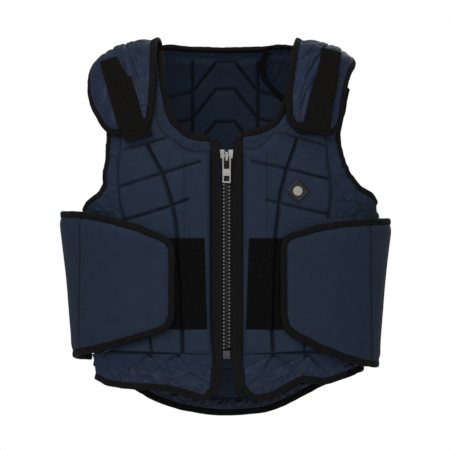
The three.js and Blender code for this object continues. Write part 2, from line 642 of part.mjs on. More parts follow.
function wingGrid(side, table) {
  const seat = FRONT_FOAM + REST_GAP + TAPE_WALL + REST_GAP;
  const stations = [];
  for (let i = 0; i + 1 < table.length; i += 1) {
    const count = table[i].across > WING_TURN ? 3 : 1;
    for (let k = 0; k < count; k += 1) stations.push(i + k / count);
  }
  stations.push(table.length - 1);
  return stations.map((position, i) => {
    const index = Math.min(table.length - 2, Math.floor(position));
    const from = table[index];
    const to = table[index + 1];
    const share = position - index;
    const across = mix(from.across, to.across, share);
    const low = mix(seat, BACK_FOAM + WING_SEAT, smooth(WING_TURN, 1, across));
    return WING_SHARES.map((drop, j) => {
      const start = seen(side, from.across, mix(from.top, from.foot, drop), seat + WING_FOAM);
      const end = seen(side, to.across, mix(to.top, to.foot, drop), seat + WING_FOAM);
      const atRim = i === 0 || j === 0 || j === WING_SHARES.length - 1;
      return { place: stationBetween(start, end, share), low, high: low + (atRim ? RIM_WALL : WING_FOAM) };
    });
  });
}

function loopGrid(side) {
  const seat = FRONT_FOAM + REST_GAP;
  return steps(LOOP_GRID.down).map((drop) => steps(LOOP_GRID.across).map((share) => {
    const inner = mix(LOOP_FIELD.innerTop, LOOP_FIELD.innerFoot, drop);
    const across = mix(inner, LOOP_FIELD.outer, share);
    const down = mix(LOOP_FIELD.top, LOOP_FIELD.foot, drop);
    return { place: seen(side, across, down, seat), low: seat, high: seat + TAPE_WALL };
  }));
}

function steps(count) {
  return Array.from({ length: count + 1 }, (unused, i) => i / count);
}

// Lift of a gather: a wave across the cloth that swells below the seam and settles towards the hem
function rippleAt(ripple, across, drop) {
  const swell = Math.sin(drop * Math.PI * RIPPLE_REACH);
  return ripple.depth * swell * Math.sin((across / ripple.pitch) * 2 * Math.PI);
}

function skirtGrid(side, table) {
  const stations = steps((table.length - 1) * SKIRT_STEPS).map((share) => share * (table.length - 1));
  return steps(SKIRT_ROWS).map((drop) => stations.map((position) => {
    const index = Math.min(table.length - 2, Math.floor(position));
    const at = (key) => mix(table[index][key], table[index + 1][key], position - index);
    const across = mix(at('topAcross'), at('hemAcross'), drop);
    const down = mix(SKIRT_TOP, at('hem'), drop);
    const low = SKIRT_LIFT + rippleAt(FRONT_RIPPLE, across, drop);
    return { place: seen(side, across, down, SKIRT_LIFT), low, high: low + CLOTH_WALL };
  }));
}

function backSkirtGrid() {
  const last = BACK_SKIRT.length - 1;
  const stations = steps(last * BACK_SKIRT_STEPS).map((share) => share * last);
  return steps(SKIRT_ROWS).map((drop) => stations.map((position) => {
    const index = Math.min(last - 1, Math.floor(position));
    const at = (key) => mix(BACK_SKIRT[index][key], BACK_SKIRT[index + 1][key], position - index);
    const across = at('across');
    const top = backFoot(Math.abs(across)) + REST_GAP / HEIGHT;
    const down = mix(top, at('hem'), drop);
    const low = SKIRT_LIFT + rippleAt(BACK_RIPPLE, across, drop);
    const side = across < 0 ? -1 : 1;
    return { place: seenBehind(side, Math.abs(across), down, BACK_VIEW_LIFT), low, high: low + CLOTH_WALL };
  }));
}

function zipTapeGrid(side, table) {
  return table.map((row) => steps(2).map((share) => ({
    place: seen(side, mix(row.chain, row.foam, share), row.down, ZIP_LIFT), low: ZIP_LIFT - TAPE_WALL / 2,
    high: ZIP_LIFT + TAPE_WALL / 2,
  })));
}

// Strip of binding along a run of edge cells; each cell names its inward neighbour
function bindingGeometry(grid, run) {
  const { outer, inner } = panelFaces(grid);
  const middle = (i, j) => outer[i][j].clone().add(inner[i][j]).multiplyScalar(0.5);
  const knots = run.map(({ edge: [i, j], inside: [k, l] }) => {
    const up = outer[i][j].clone().sub(inner[i][j]);
    return {
      point: middle(i, j), up: up.clone().normalize(), half: up.length() / 2,
      away: middle(i, j).sub(middle(k, l)),
    };
  });
  const sideways = knots.slice(1).map((knot, i) => {
    const before = knots[i];
    const along = knot.point.clone().sub(before.point);
    const up = knot.up.clone().add(before.up);
    const side = along.cross(up).normalize();
    const away = knot.away.clone().add(before.away);
    return side.dot(away) < 0 ? side.negate() : side;
  });
  const sections = knots.map((knot, i) => {
    const before = sideways[Math.max(0, i - 1)];
    const after = sideways[Math.min(sideways.length - 1, i)];
    const mitre = before.clone().add(after).multiplyScalar(1 / (1 + before.dot(after)));
    const near = BINDING_GAP;
    const far = BINDING_GAP + BINDING_WIDTH;
    const shoulder = mix(near, far, BINDING_SHOULDER);
    const low = -knot.half;
    const high = knot.half + BINDING_PROUD;
    const corners = [
      [near, low], [shoulder, low], [far, mix(high, low, BINDING_SHOULDER)],
      [far, mix(low, high, BINDING_SHOULDER)], [shoulder, high], [near, high],
    ];
    return corners.map(([across, lift]) => knot.point.clone()
      .addScaledVector(mitre, across).addScaledVector(knot.up, lift));
  });
  return sweptGeometry(sections);
}

function sweptGeometry(sections) {
  const count = sections[0].length;
  const faces = [];
  for (let i = 0; i + 1 < sections.length; i += 1) {
    for (let k = 0; k < count; k += 1) {
      const a = i * count + k;
      const b = i * count + ((k + 1) % count);
      faces.push([a, b, b + count], [a, b + count, a + count]);
    }
  }
  const end = (sections.length - 1) * count;
  for (let k = 1; k + 1 < count; k += 1) {
    faces.push([0, k + 1, k], [end, end + k, end + k + 1]);
  }
  return facesGeometry(sections.flat(), faces);
}

function columnRun(first, last, column, inside) {
  return Array.from({ length: last - first + 1 }, (unused, k) => ({
    edge: [first + k, column], inside: [first + k, inside],
  }));
}

function rowRun(first, last, row, inside) {
  const step = Math.sign(last - first);
  return Array.from({ length: Math.abs(last - first) + 1 }, (unused, k) => ({
    edge: [row, first + k * step], inside: [inside, first + k * step],
  }));
}

function box(x0, x1, y0, y1, z0, z1) {
  const geometry = new THREE.BoxGeometry(x1 - x0, y1 - y0, z1 - z0);
  return geometry.translate((x0 + x1) / 2, (y0 + y1) / 2, (z0 + z1) / 2);
}

function toSolid(geometry) {
  const plain = new THREE.BufferGeometry();
  plain.setAttribute('position', geometry.getAttribute('position'));
  plain.setIndex(geometry.index);
  const merged = mergeVertices(plain, 1e-4);
  return new wasm.Manifold(new wasm.Mesh({
    numProp: 3,
    vertProperties: new Float32Array(merged.getAttribute('position').array),
    triVerts: new Uint32Array(merged.index.array),
  }));
}

function fromSolid(solid) {
  const mesh = solid.getMesh();
  const geometry = new THREE.BufferGeometry();
  geometry.setAttribute('position', new THREE.Float32BufferAttribute(mesh.vertProperties, 3));
  geometry.setIndex(Array.from(mesh.triVerts));
  geometry.computeVertexNormals();
  return geometry;
}

function joined(added, cut = []) {
  const whole = added.map(toSolid).reduce((sum, solid) => sum.add(solid));
  return fromSolid(cut.map(toSolid).reduce((rest, solid) => rest.subtract(solid), whole));
}

function prism(outline, from, to) {
  const shape = new THREE.Shape(outline.map(([x, z]) => new THREE.Vector2(x, z)));
  const geometry = new THREE.ExtrudeGeometry(shape, { depth: to - from, bevelEnabled: false });
  return geometry.rotateX(Math.PI / 2).translate(0, to, 0);
}

// The chain: a strip along the zip with a rib at each tooth pitch
function chainGeometry() {
  const length = (ZIP_CHAIN.foot - ZIP_CHAIN.top) * HEIGHT;
  const count = Math.round(length / CHAIN_PITCH);
  const sections = steps(count * 2).map((share, i) => {
    const down = mix(ZIP_CHAIN.top, ZIP_CHAIN.foot, share);
    const middle = bodyPoint(seen(1, 0, down, ZIP_LIFT), ZIP_LIFT);
    const half = CHAIN_HALF - (i % 2) * CHAIN_RIB;
    const wall = CHAIN_WALL / 2 - (i % 2) * CHAIN_RIB;
    return [[-half, -wall], [half, -wall], [half, wall], [-half, wall]]
      .map(([x, y]) => new THREE.Vector3(x, middle.y + y, middle.z));
  });
  return sweptGeometry(sections);
}

function zipBoxGeometry() {
  const top = heightOf(ZIP_CHAIN.foot) - SEAM_GAP;
  const foot = heightOf(ZIP_BOX.foot);
  const middle = bodyPoint(seen(1, 0, ZIP_BOX.foot, ZIP_LIFT), ZIP_LIFT);
  const half = ZIP_BOX.wall / 2;
  return box(-CHAIN_HALF, CHAIN_HALF, middle.y - half, middle.y + half, foot, top);
}

// Slider about the hinge line of the pull, which lies at x = 0, z = 0; y = 0 is the middle of the chain
function sliderGeometry() {
  const s = SLIDER;
  const plate = [[-s.footHalf, s.foot], [s.footHalf, s.foot], [s.headHalf, s.top], [-s.headHalf, s.top]];
  const room = s.channel / 2;
  const front = prism(plate, -room - s.wall, -room);
  const back = prism(plate, room, room + s.wall);
  const post = box(-s.post / 2, s.post / 2, -room - s.wall / 2, room + s.wall / 2, s.postFoot, s.postTop);
  const face = -room - s.wall;
  const roof = face - s.bridgeRoom;
  const outer = roof - s.bridgeWall;
  const seat = face + s.wall / 2;
  const bridge = [
    box(-s.bridgeHalf, s.bridgeHalf, outer, seat, s.bridgeTop - s.bridgeLeg, s.bridgeTop),
    box(-s.bridgeHalf, s.bridgeHalf, outer, seat, s.bridgeFoot, s.bridgeFoot + s.bridgeLeg),
    box(-s.bridgeHalf, s.bridgeHalf, outer, roof, s.bridgeFoot, s.bridgeTop),
  ];
  return joined([front, back, post, ...bridge]);
}

function pullGeometry() {
  const p = PULL;
  const half = p.wall / 2;
  const plate = box(-p.half, p.half, -half, half, -p.length + p.bar / 2, p.bar / 2);
  const inner = p.half - p.side;
  const slot = box(-inner, inner, -p.wall, p.wall, p.windowFoot, -p.bar / 2);
  const hole = box(-inner, inner, -p.wall, p.wall, p.holeFoot, p.holeTop);
  return joined([plate], [slot, hole]);
}

function sliderPlace() {
  return bodyPoint(seen(1, 0, SLIDER.down, ZIP_LIFT), ZIP_LIFT);
}

function pullOffset() {
  return -(SLIDER.channel / 2 + SLIDER.wall + SLIDER.bridgeRoom / 2);
}

function badgeGrid() {
  const seat = FRONT_FOAM + REST_GAP;
  return steps(BADGE_STEPS).map((u) => steps(BADGE_STEPS).map((v) => {
    const x = (u + v - 1) * BADGE.halfDiagonal;
    const z = (u - v) * BADGE.halfDiagonal;
    const place = seen(1, BADGE.across + x / HALF_WIDTH, BADGE.down - z / HEIGHT, seat);
    return { place, low: seat, high: seat + BADGE.wall };
  }));
}

function discGeometry() {
  const { across, down, wall, discRadius, discWall } = BADGE;
  const lift = FRONT_FOAM + REST_GAP + wall + REST_GAP;
  const foot = bodyPoint(seen(1, across, down, lift), lift);
  const aside = bodyPoint(seen(1, across + TILT_STEP, down, lift), lift).sub(foot);
  const above = bodyPoint(seen(1, across, down - TILT_STEP, lift), lift).sub(foot);
  const outward = aside.cross(above).normalize();
  const geometry = new THREE.CylinderGeometry(discRadius, discRadius, discWall, DISC_SIDES);
  geometry.applyQuaternion(new THREE.Quaternion().setFromUnitVectors(new THREE.Vector3(0, 1, 0), outward));
  const middle = foot.addScaledVector(outward, discWall / 2);
  return geometry.translate(middle.x, middle.y, middle.z);
}

function buildFront(vest, side, word, table, skirt) {
  const grid = frontGrid(side, table);
  const lastColumn = grid[0].length - 1;
  const neckRun = columnRun(0, FRONT_BOUND.neckEnd, 0, 1);
  vest.add(makePiece(`front_panel_${word}`, panelGeometry(grid), quilt));
  vest.add(makePiece(`neck_binding_${word}`, bindingGeometry(grid, neckRun), binding));
  const armRun = columnRun(FRONT_BOUND.armStart, FRONT_BOUND.armEnd, lastColumn, lastColumn - 1);
  vest.add(makePiece(`armhole_binding_${word}`, bindingGeometry(grid, armRun), binding));
  vest.add(makePiece(`loop_patch_${word}`, panelGeometry(loopGrid(side)), loopPile));
  const cloths = skirtGrid(side, skirt);
  const foot = cloths.length - 1;
  const hem = rowRun(0, cloths[0].length - 1, foot, foot - 1);
  vest.add(makePiece(`front_skirt_${word}`, panelGeometry(cloths), satin));
  vest.add(makePiece(`hem_binding_${word}`, bindingGeometry(cloths, hem), binding));
}

function buildBack(vest) {
  const grid = backGrid();
  const lastColumn = grid[0].length - 1;
  const half = lastColumn / 2;
  const { neckReach, armStart, armEnd } = BACK_BOUND;
  const neck = rowRun(half - neckReach, half + neckReach, 0, 1);
  const right = columnRun(armStart, armEnd, 0, 1);
  const left = columnRun(armStart, armEnd, lastColumn, lastColumn - 1);
  vest.add(makePiece('back_panel', panelGeometry(grid), quilt));
  vest.add(makePiece('neck_binding_back', bindingGeometry(grid, neck), binding));
  vest.add(makePiece('back_armhole_binding_right', bindingGeometry(grid, right), binding));
  vest.add(makePiece('back_armhole_binding_left', bindingGeometry(grid, left), binding));
  const cloths = backSkirtGrid();
  const foot = cloths.length - 1;
  const hem = rowRun(0, cloths[0].length - 1, foot, foot - 1);
  vest.add(makePiece('back_skirt', panelGeometry(cloths), satin));
  vest.add(makePiece('hem_binding_back', bindingGeometry(cloths, hem), binding));
}

function buildYoke(vest, side, word, table, tape) {
  const grid = yokeGrid(side, table);
  const lastRow = grid.length - 1;
  const lastColumn = grid[0].length - 1;
  vest.add(makePiece(`shoulder_yoke_${word}`, panelGeometry(grid), satin));
  const run = [
    ...columnRun(0, lastRow, 0, 1),
    ...rowRun(1, lastColumn - 1, lastRow, lastRow - 1),
    ...columnRun(2, lastRow, lastColumn, lastColumn - 1).reverse(),
  ];
  vest.add(makePiece(`yoke_binding_${word}`, bindingGeometry(grid, run), binding));
  vest.add(makePiece(`shoulder_tape_${word}`, panelGeometry(shoulderTapeGrid(side, tape)), hookTape));
}

function buildWing(vest, side, word, table) {
  const grid = wingGrid(side, table);
  const lastRow = grid.length - 1;
  const lastColumn = grid[0].length - 1;
  vest.add(makePiece(`side_wing_${word}`, panelGeometry(grid), quilt));
  const run = [
    ...columnRun(0, lastRow, 0, 1).reverse(),
    ...rowRun(1, lastColumn - 1, 0, 1),
    ...columnRun(0, lastRow, lastColumn, lastColumn - 1),
  ];
  vest.add(makePiece(`wing_binding_${word}`, bindingGeometry(grid, run), binding));
}

function buildZip(vest) {
  vest.add(makePiece('zip_tape_right', panelGeometry(zipTapeGrid(-1, ZIP_TAPE_RIGHT)), hookTape));
  vest.add(makePiece('zip_tape_left', panelGeometry(zipTapeGrid(1, ZIP_TAPE_LEFT)), hookTape));
  vest.add(makePiece('zip_chain', chainGeometry(), chainPlastic));
  vest.add(makePiece('zip_box', zipBoxGeometry(), chainPlastic));
  const hinge = sliderPlace();
  vest.add(makePiece('zip_slider', sliderGeometry().translate(0, hinge.y, hinge.z), nickel));
  vest.add(makePiece('zip_pull', pullGeometry().translate(0, hinge.y + pullOffset(), hinge.z), nickel));
}

function buildBadge(vest) {
  vest.add(makePiece('badge_base', panelGeometry(badgeGrid()), badgeFace));
  vest.add(makePiece('badge_disc', discGeometry(), badgeDisc));
}

function buildVest() {
  const vest = new THREE.Group();
  vest.name = 'body_protector';
  buildBack(vest);
  buildFront(vest, -1, 'right', FRONT_RIGHT, SKIRT_RIGHT);
  buildFront(vest, 1, 'left', FRONT_LEFT, SKIRT_LEFT);
  buildYoke(vest, -1, 'right', YOKE_RIGHT, TAPE_RIGHT);
  buildYoke(vest, 1, 'left', YOKE_LEFT, TAPE_LEFT);
  buildWing(vest, -1, 'right', WING_RIGHT);
  buildWing(vest, 1, 'left', WING_LEFT);
  buildZip(vest);
  buildBadge(vest);
  return vest;
}

export default buildVest();
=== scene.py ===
"""Padded riding vest with a front zip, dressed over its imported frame.

Metres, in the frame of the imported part: the front faces -Y, the wearer's left is +X and up is +Z. Every soft
piece is a surface over one body form: an angle round the body, a climb over the shoulder and a lift off it.
"""

import logging
import math
from dataclasses import dataclass, field
from enum import Enum

import bmesh
import bpy
import numpy as np
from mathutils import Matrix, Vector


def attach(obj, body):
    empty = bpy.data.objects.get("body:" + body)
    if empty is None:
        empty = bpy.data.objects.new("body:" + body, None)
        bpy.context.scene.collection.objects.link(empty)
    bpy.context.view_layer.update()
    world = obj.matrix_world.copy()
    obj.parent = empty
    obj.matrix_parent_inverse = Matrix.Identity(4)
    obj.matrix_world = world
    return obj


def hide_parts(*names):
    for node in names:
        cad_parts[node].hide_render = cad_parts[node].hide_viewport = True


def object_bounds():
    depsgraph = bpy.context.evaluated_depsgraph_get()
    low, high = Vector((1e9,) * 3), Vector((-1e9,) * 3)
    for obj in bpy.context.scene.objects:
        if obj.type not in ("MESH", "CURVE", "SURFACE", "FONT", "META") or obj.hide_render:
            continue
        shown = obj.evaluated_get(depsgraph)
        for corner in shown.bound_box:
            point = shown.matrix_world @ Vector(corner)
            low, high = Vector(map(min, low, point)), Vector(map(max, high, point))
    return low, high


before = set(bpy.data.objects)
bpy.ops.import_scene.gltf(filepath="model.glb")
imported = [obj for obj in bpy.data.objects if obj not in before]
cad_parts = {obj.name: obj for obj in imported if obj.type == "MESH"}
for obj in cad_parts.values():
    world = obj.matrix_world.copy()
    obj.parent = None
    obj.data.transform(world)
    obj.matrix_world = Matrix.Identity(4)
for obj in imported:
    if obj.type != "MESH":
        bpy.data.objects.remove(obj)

CAD_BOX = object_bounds()
LOG = logging.getLogger("vest")
Socket = bpy.types.NodeSocket
MM = 0.001


class Side(Enum):
    """The wearer's side of a piece; the value is the sign of X."""

    RIGHT = -1
    LEFT = 1

    @property
    def word(self) -> str:
        """Lower-case word that ends the node's name."""
        return self.name.lower()


def smooth(start: float, end: float, value: np.ndarray) -> np.ndarray:
    """Smooth step from 0 at start to 1 at end (cubic).

    Args:
        start: Value at which the step begins.
        end: Value at which the step is complete.
        value: Where to read it.

    Returns:
        The step, as an array like value.
    """
    share = np.clip((value - start) / (end - start), 0.0, 1.0)
    return share * share * (3.0 - 2.0 * share)


def along(table: np.ndarray, position: np.ndarray) -> np.ndarray:
    """Monotone cubic through the rows of a table, read at fractional row numbers.

    The tangent at a row is the harmonic mean of the slopes beside it, or zero where they change sign, so the
    curve passes through every row and never swings past one.

    Args:
        table: One row per section, one column per value.
        position: Fractional row numbers.

    Returns:
        One row per position.
    """
    slope = np.diff(table, axis=0)
    product = slope[:-1] * slope[1:]
    total = slope[:-1] + slope[1:]
    inner = np.where(product > 0.0, 2.0 * product / np.where(total == 0.0, 1.0, total), 0.0)
    tangent = np.concatenate([slope[:1], inner, slope[-1:]])
    row = np.clip(np.floor(position).astype(int), 0, len(table) - 2)
    t = (position - row)[:, None]
    return ((2 * t**3 - 3 * t**2 + 1) * table[row] + (t**3 - 2 * t**2 + t) * tangent[row]
            + (3 * t**2 - 2 * t**3) * table[row + 1] + (t**3 - t**2) * tangent[row + 1])


def noise(x: np.ndarray, y: np.ndarray, seed: int) -> np.ndarray:
    """Value noise: random heights on a unit lattice, blended with a smooth step.

    Args:
        x: First coordinate, in lattice cells.
        y: Second coordinate, in lattice cells.
        seed: Which lattice.

    Returns:
        Heights between -1 and 1.
    """
    lattice = np.random.default_rng(seed).uniform(-1.0, 1.0, (61, 67))
    i, j = np.floor(x).astype(int), np.floor(y).astype(int)
    s, t = smooth(0.0, 1.0, x - i), smooth(0.0, 1.0, y - j)
    corner = [lattice[(i + a) % 61, (j + b) % 67] for a in (0, 1) for b in (0, 1)]
    near = corner[0] * (1 - t) + corner[1] * t
    far = corner[2] * (1 - t) + corner[3] * t
    return near * (1 - s) + far * s


def creases(x: np.ndarray, y: np.ndarray, seed: int) -> np.ndarray:
    """Soft ridges of creased cloth: one minus the absolute value of two octaves of noise.

    Args:
        x: First coordinate, in crease spacings.
        y: Second coordinate, in crease spacings.
        seed: Which lattice.

    Returns:
        Heights between 0 and 1, with narrow crests.
    """
    first = 1.0 - np.abs(noise(x, y, seed))
    second = 1.0 - np.abs(noise(2.1 * x + 7.0, 2.1 * y + 3.0, seed + 1))
    return (first**4 + 0.45 * second**4) / 1.45


def line_distance(x: np.ndarray, z: np.ndarray, line: np.ndarray) -> np.ndarray:
    """Distance in a plane from points to an open line of straight stretches.

    Args:
        x: First coordinate of the points.
        z: Second coordinate of the points.
        line: Corners of the line, one per row.

    Returns:
        The least distance to any stretch.
    """
    best = np.full(x.shape, np.inf)
    for start, end in zip(line[:-1], line[1:]):
        step = end - start
        share = np.clip(((x - start[0]) * step[0] + (z - start[1]) * step[1]) / (step @ step + 1e-12), 0.0, 1.0)
        best = np.minimum(best, np.hypot(x - start[0] - share * step[0], z - start[1] - share * step[1]))
    return best


def unit(vectors: np.ndarray) -> np.ndarray:
    """Vectors scaled to length one along their last axis."""
    return vectors / np.maximum(np.linalg.norm(vectors, axis=-1, keepdims=True), 1e-12)


@dataclass(frozen=True)
class Body:
    """The wearer's form under the vest: superellipse sections that close over the shoulders.

    A place is an angle round the body (0 at the front, positive to the wearer's left) and a climb: the height
    over the chest line while that is negative, then an arc over the shoulder.
    """

    height: float = 0.490
    half_width: float = 0.2145
    half_depth: float = 0.107
    top: float = 0.0156
    power: float = 2.4
    chest_down: float = 0.297
    arc: float = 0.110
    crest_middle: float = 0.0150
    crest_bow: float = 0.053
    crest_droop: float = 0.048
    crest_reach: float = 0.842
    downs: tuple[float, ...] = (0.297, 0.400, 0.496, 0.642, 0.828, 1.000)
    wides: tuple[float, ...] = (0.914, 0.900, 0.883, 0.843, 0.811, 0.820)
    deeps: tuple[float, ...] = (0.804, 0.813, 0.804, 0.776, 0.785, 0.804)

    @property
    def chest(self) -> float:
        """Height of the chest line, over which the sections close."""
        return self.top - self.chest_down * self.height

    def level(self, down: np.ndarray) -> np.ndarray:
        """Height of a share of the vest's height under its top."""
        return self.top - down * self.height

    def half(self, z: np.ndarray, shares: tuple[float, ...], size: float) -> np.ndarray:
        """Half of a section's width or depth at a height, eased between the table's rows.

        Args:
            z: Heights.
            shares: Column of the section table.
            size: The size that the column is a share of.

        Returns:
            Mean of the straight interpolation at seven heights about each one.
        """
        down = np.maximum(self.chest_down, (self.top - z) / self.height)
        taps = [np.interp(down + k * 0.014, self.downs, shares) for k in range(-3, 4)]
        return np.mean(taps, axis=0) * size

    def crest(self, across: np.ndarray) -> np.ndarray:
        """Height of the shoulder line: a shallow bow with a droop at its end."""
        reach = np.abs(across) / self.crest_reach
        return self.level(self.crest_middle + self.crest_bow * reach**2 + self.crest_droop * reach**10)

    def point(self, turn: np.ndarray, climb: np.ndarray, lift: np.ndarray) -> np.ndarray:
        """Points at a place and a lift off the body.

        x is the half width times sin(turn) to the power 2/n, y the half depth times cos(turn) to the same
        power, and over the chest line the section closes on a quarter of an ellipse up to the shoulder line.

        Args:
            turn: Angle round the body.
            climb: Height under the chest line or arc over it.
            lift: Distance off the body.

        Returns:
            Points, with X, Y and Z on the last axis.
        """
        over = np.maximum(0.0, climb) / self.arc
        level = self.chest + np.minimum(0.0, climb)
        power = 2.0 / self.power
        sine, cosine = np.sin(turn), np.cos(turn)
        x = (self.half(level, self.wides, self.half_width) + lift) * np.sign(sine) * np.abs(sine) ** power
        y = (self.half(level, self.deeps, self.half_depth) + lift) * np.sign(cosine) * np.abs(cosine) ** power
        rise = self.crest(x / self.half_width) + lift - self.chest
        z = np.where(climb > 0.0, self.chest + rise * np.sin(over), level)
        return np.stack([x, -y * np.cos(over), z], axis=-1)

    def seen(self, side: float, across: np.ndarray, down: np.ndarray, lift: float,
             behind: bool = False) -> tuple[np.ndarray, np.ndarray]:
        """Place that shows at (across, down) from the front, or from behind.

        Args:
            side: 1 for the wearer's left, -1 for the right; an array is allowed.
            across: Share of the half width; past 1 it goes on round the side.
            down: Share of the height under the top.
            lift: Lift of the face that shows there.
            behind: Whether the place is on the back.

        Returns:
            The angle round the body and the climb.
        """
        z = self.level(down)
        share = np.where(across > 1.0, 2.0 - across, across)
        reach = np.clip(share * self.half_width / (self.half(z, self.wides, self.half_width) + lift), 0.0, 1.0)
        angle = np.arcsin(reach ** (self.power / 2.0))
        angle = np.where((across > 1.0) != behind, math.pi - angle, angle)
        rise = np.clip((z - self.chest) / (self.crest(share) + lift - self.chest), -1.0, 1.0)
        return side * angle, np.where(z > self.chest, np.arcsin(np.maximum(rise, 0.0)) * self.arc, z - self.chest)

    def over_shoulder(self, side: int, across: np.ndarray, degrees: np.ndarray,
                      lift: float) -> tuple[np.ndarray, np.ndarray]:
        """Place at an across and a turn in degrees over the shoulder (90 on top)."""
        reach = across * self.half_width / (self.half(np.array(self.chest), self.wides, self.half_width) + lift)
        return side * np.arcsin(reach ** (self.power / 2.0)), np.radians(degrees) * self.arc


BODY = Body()
FRONT_VIEW = np.array([BODY.half_width, BODY.height])


def linear(hex_colour: str) -> tuple[float, float, float, float]:
    """Linear RGBA of an sRGB hex colour such as "#26334B".

    Args:
        hex_colour: sRGB colour as # and six hex digits.

    Returns:
        The colour in linear light, with alpha 1.
    """
    parts = [int(hex_colour[i:i + 2], 16) / 255.0 for i in (1, 3, 5)]
    red, green, blue = (c / 12.92 if c <= 0.04045 else ((c + 0.055) / 1.055) ** 2.4 for c in parts)
    return red, green, blue, 1.0


def add_node(tree: bpy.types.NodeTree, kind: str, settings: dict[str, object],
             links: dict[str, Socket]) -> bpy.types.Node:
    """Add a node, set its properties or inputs and link its inputs.

    Args:
        tree: Node tree to add it to.
        kind: Blender's name for the node type, without ShaderNode in front.
        settings: Values by property name, or by input name or number.
        links: Output sockets by input name or number.

    Returns:
        The new node.
    """
    node = tree.nodes.new(f"ShaderNode{kind}")
    for key, value in settings.items():
        if isinstance(key, str) and hasattr(node, key):
            setattr(node, key, value)
        else:
            node.inputs[key].default_value = value
    for key, socket in links.items():
        tree.links.new(socket, node.inputs[key])
    return node


class Surface:
    """One new material and the steps that its finishes share; all patterns are scaled from real mm."""

    def __init__(self, name: str) -> None:
        """Make the material with its shader.

        Args:
            name: Name of the material.
        """
        self.material = bpy.data.materials.new(name)
        self.material.use_nodes = True
        self.tree = self.material.node_tree
        self.shader = self.tree.nodes["Principled BSDF"]
        self.place = add_node(self.tree, "TexCoord", {}, {}).outputs["Object"]

    def put(self, name: str, value: Socket | float | tuple[float, ...]) -> None:
        """Link a socket to an input of the shader, or set a constant there.

        Args:
            name: Name of the input.
            value: Output socket or constant.
        """
        if isinstance(value, Socket):
            self.tree.links.new(value, self.shader.inputs[name])
        else:
            self.shader.inputs[name].default_value = value

    def mottle(self, size_mm: float, detail: float, roughness: float = 0.5) -> Socket:
        """Noise over the piece's own place, with cells of a real size."""
        settings = {"Scale": 1000.0 / size_mm, "Detail": detail, "Roughness": roughness}
        return add_node(self.tree, "TexNoise", settings, {"Vector": self.place}).outputs["Fac"]

    def ribs(self, axis: str, rib_mm: float, settings: dict[str, float]) -> Socket:
        """Straight threads of a real width across one axis of the cloth map.

        Args:
            axis: X or Y of the map, across the threads.
            rib_mm: Width of one rib.
            settings: Other settings of the wave.

        Returns:
            Height from 0 to 1.
        """
        thread = add_node(self.tree, "UVMap", {"uv_map": "cloth"}, {})
        return add_node(self.tree, "TexWave", {"wave_type": "BANDS", "bands_direction": axis,
                                               "Scale": 1000.0 / rib_mm / 20.0 * math.pi, **settings},
                        {"Vector": thread.outputs["UV"]}).outputs["Fac"]

    def span(self, value: Socket, ends: dict[str, float]) -> Socket:
        """A value carried from one range to another; ends not given are 0 and 1."""
        return add_node(self.tree, "MapRange", ends, {"Value": value}).outputs[0]

    def maths(self, operation: str, first: Socket, second: Socket | float = 0.0) -> Socket:
        """Result of one operation on a socket and a socket or constant.

        Args:
            operation: Blender's name of the operation.
            first: First value.
            second: Second value, or a constant.

        Returns:
            The result.
        """
        constant = not isinstance(second, Socket)
        return add_node(self.tree, "Math", {"operation": operation, **({1: second} if constant else {})},
                        {0: first} if constant else {0: first, 1: second}).outputs[0]

    def mix(self, share: Socket, first: str | Socket, second: str) -> Socket:
        """The first colour turning into the second one.

        Args:
            share: Share of the second colour.
            first: Hex colour or socket.
            second: Hex colour.

        Returns:
            The mixed colour.
        """
        plain = isinstance(first, str)
        return add_node(self.tree, "Mix", {"data_type": "RGBA", 7: linear(second),
                                           **({6: linear(first)} if plain else {})},
                        {0: share} if plain else {0: share, 6: first}).outputs[2]

    def pressed(self, base: Socket, dark: str) -> Socket:
        """The base colour with painted shade: dark where the attribute channel marks pressed channels, seams and
        folds.
        """
        # painted shade: the dark colour is mixed in by the attribute channel
        channel = add_node(self.tree, "Attribute", {"attribute_name": "channel"}, {})
        return self.mix(channel.outputs["Fac"], base, dark)

    def bump(self, height: Socket, strength: float, distance: float,
             under: Socket | None = None) -> Socket:
        """Relief of a height in metres on the shader's normal, over an earlier relief.

        Args:
            height: Height from 0 to 1.
            strength: Share of the relief that shows.
            distance: Real height of the relief.
            under: Normal of the relief below.

        Returns:
            The new normal.
        """
        normal = add_node(self.tree, "Bump", {"Strength": strength, "Distance": distance},
                          {"Height": height, **({"Normal": under} if under else {})}).outputs["Normal"]
        self.put("Normal", normal)
        return normal

    def beside(self) -> tuple[Socket, Socket, Socket]:
        """Distance aside of the vest's middle, and the place's Y and Z."""
        axes = add_node(self.tree, "SeparateXYZ", {}, {0: self.place})
        return self.maths("ABSOLUTE", axes.outputs["X"]), axes.outputs["Y"], axes.outputs["Z"]


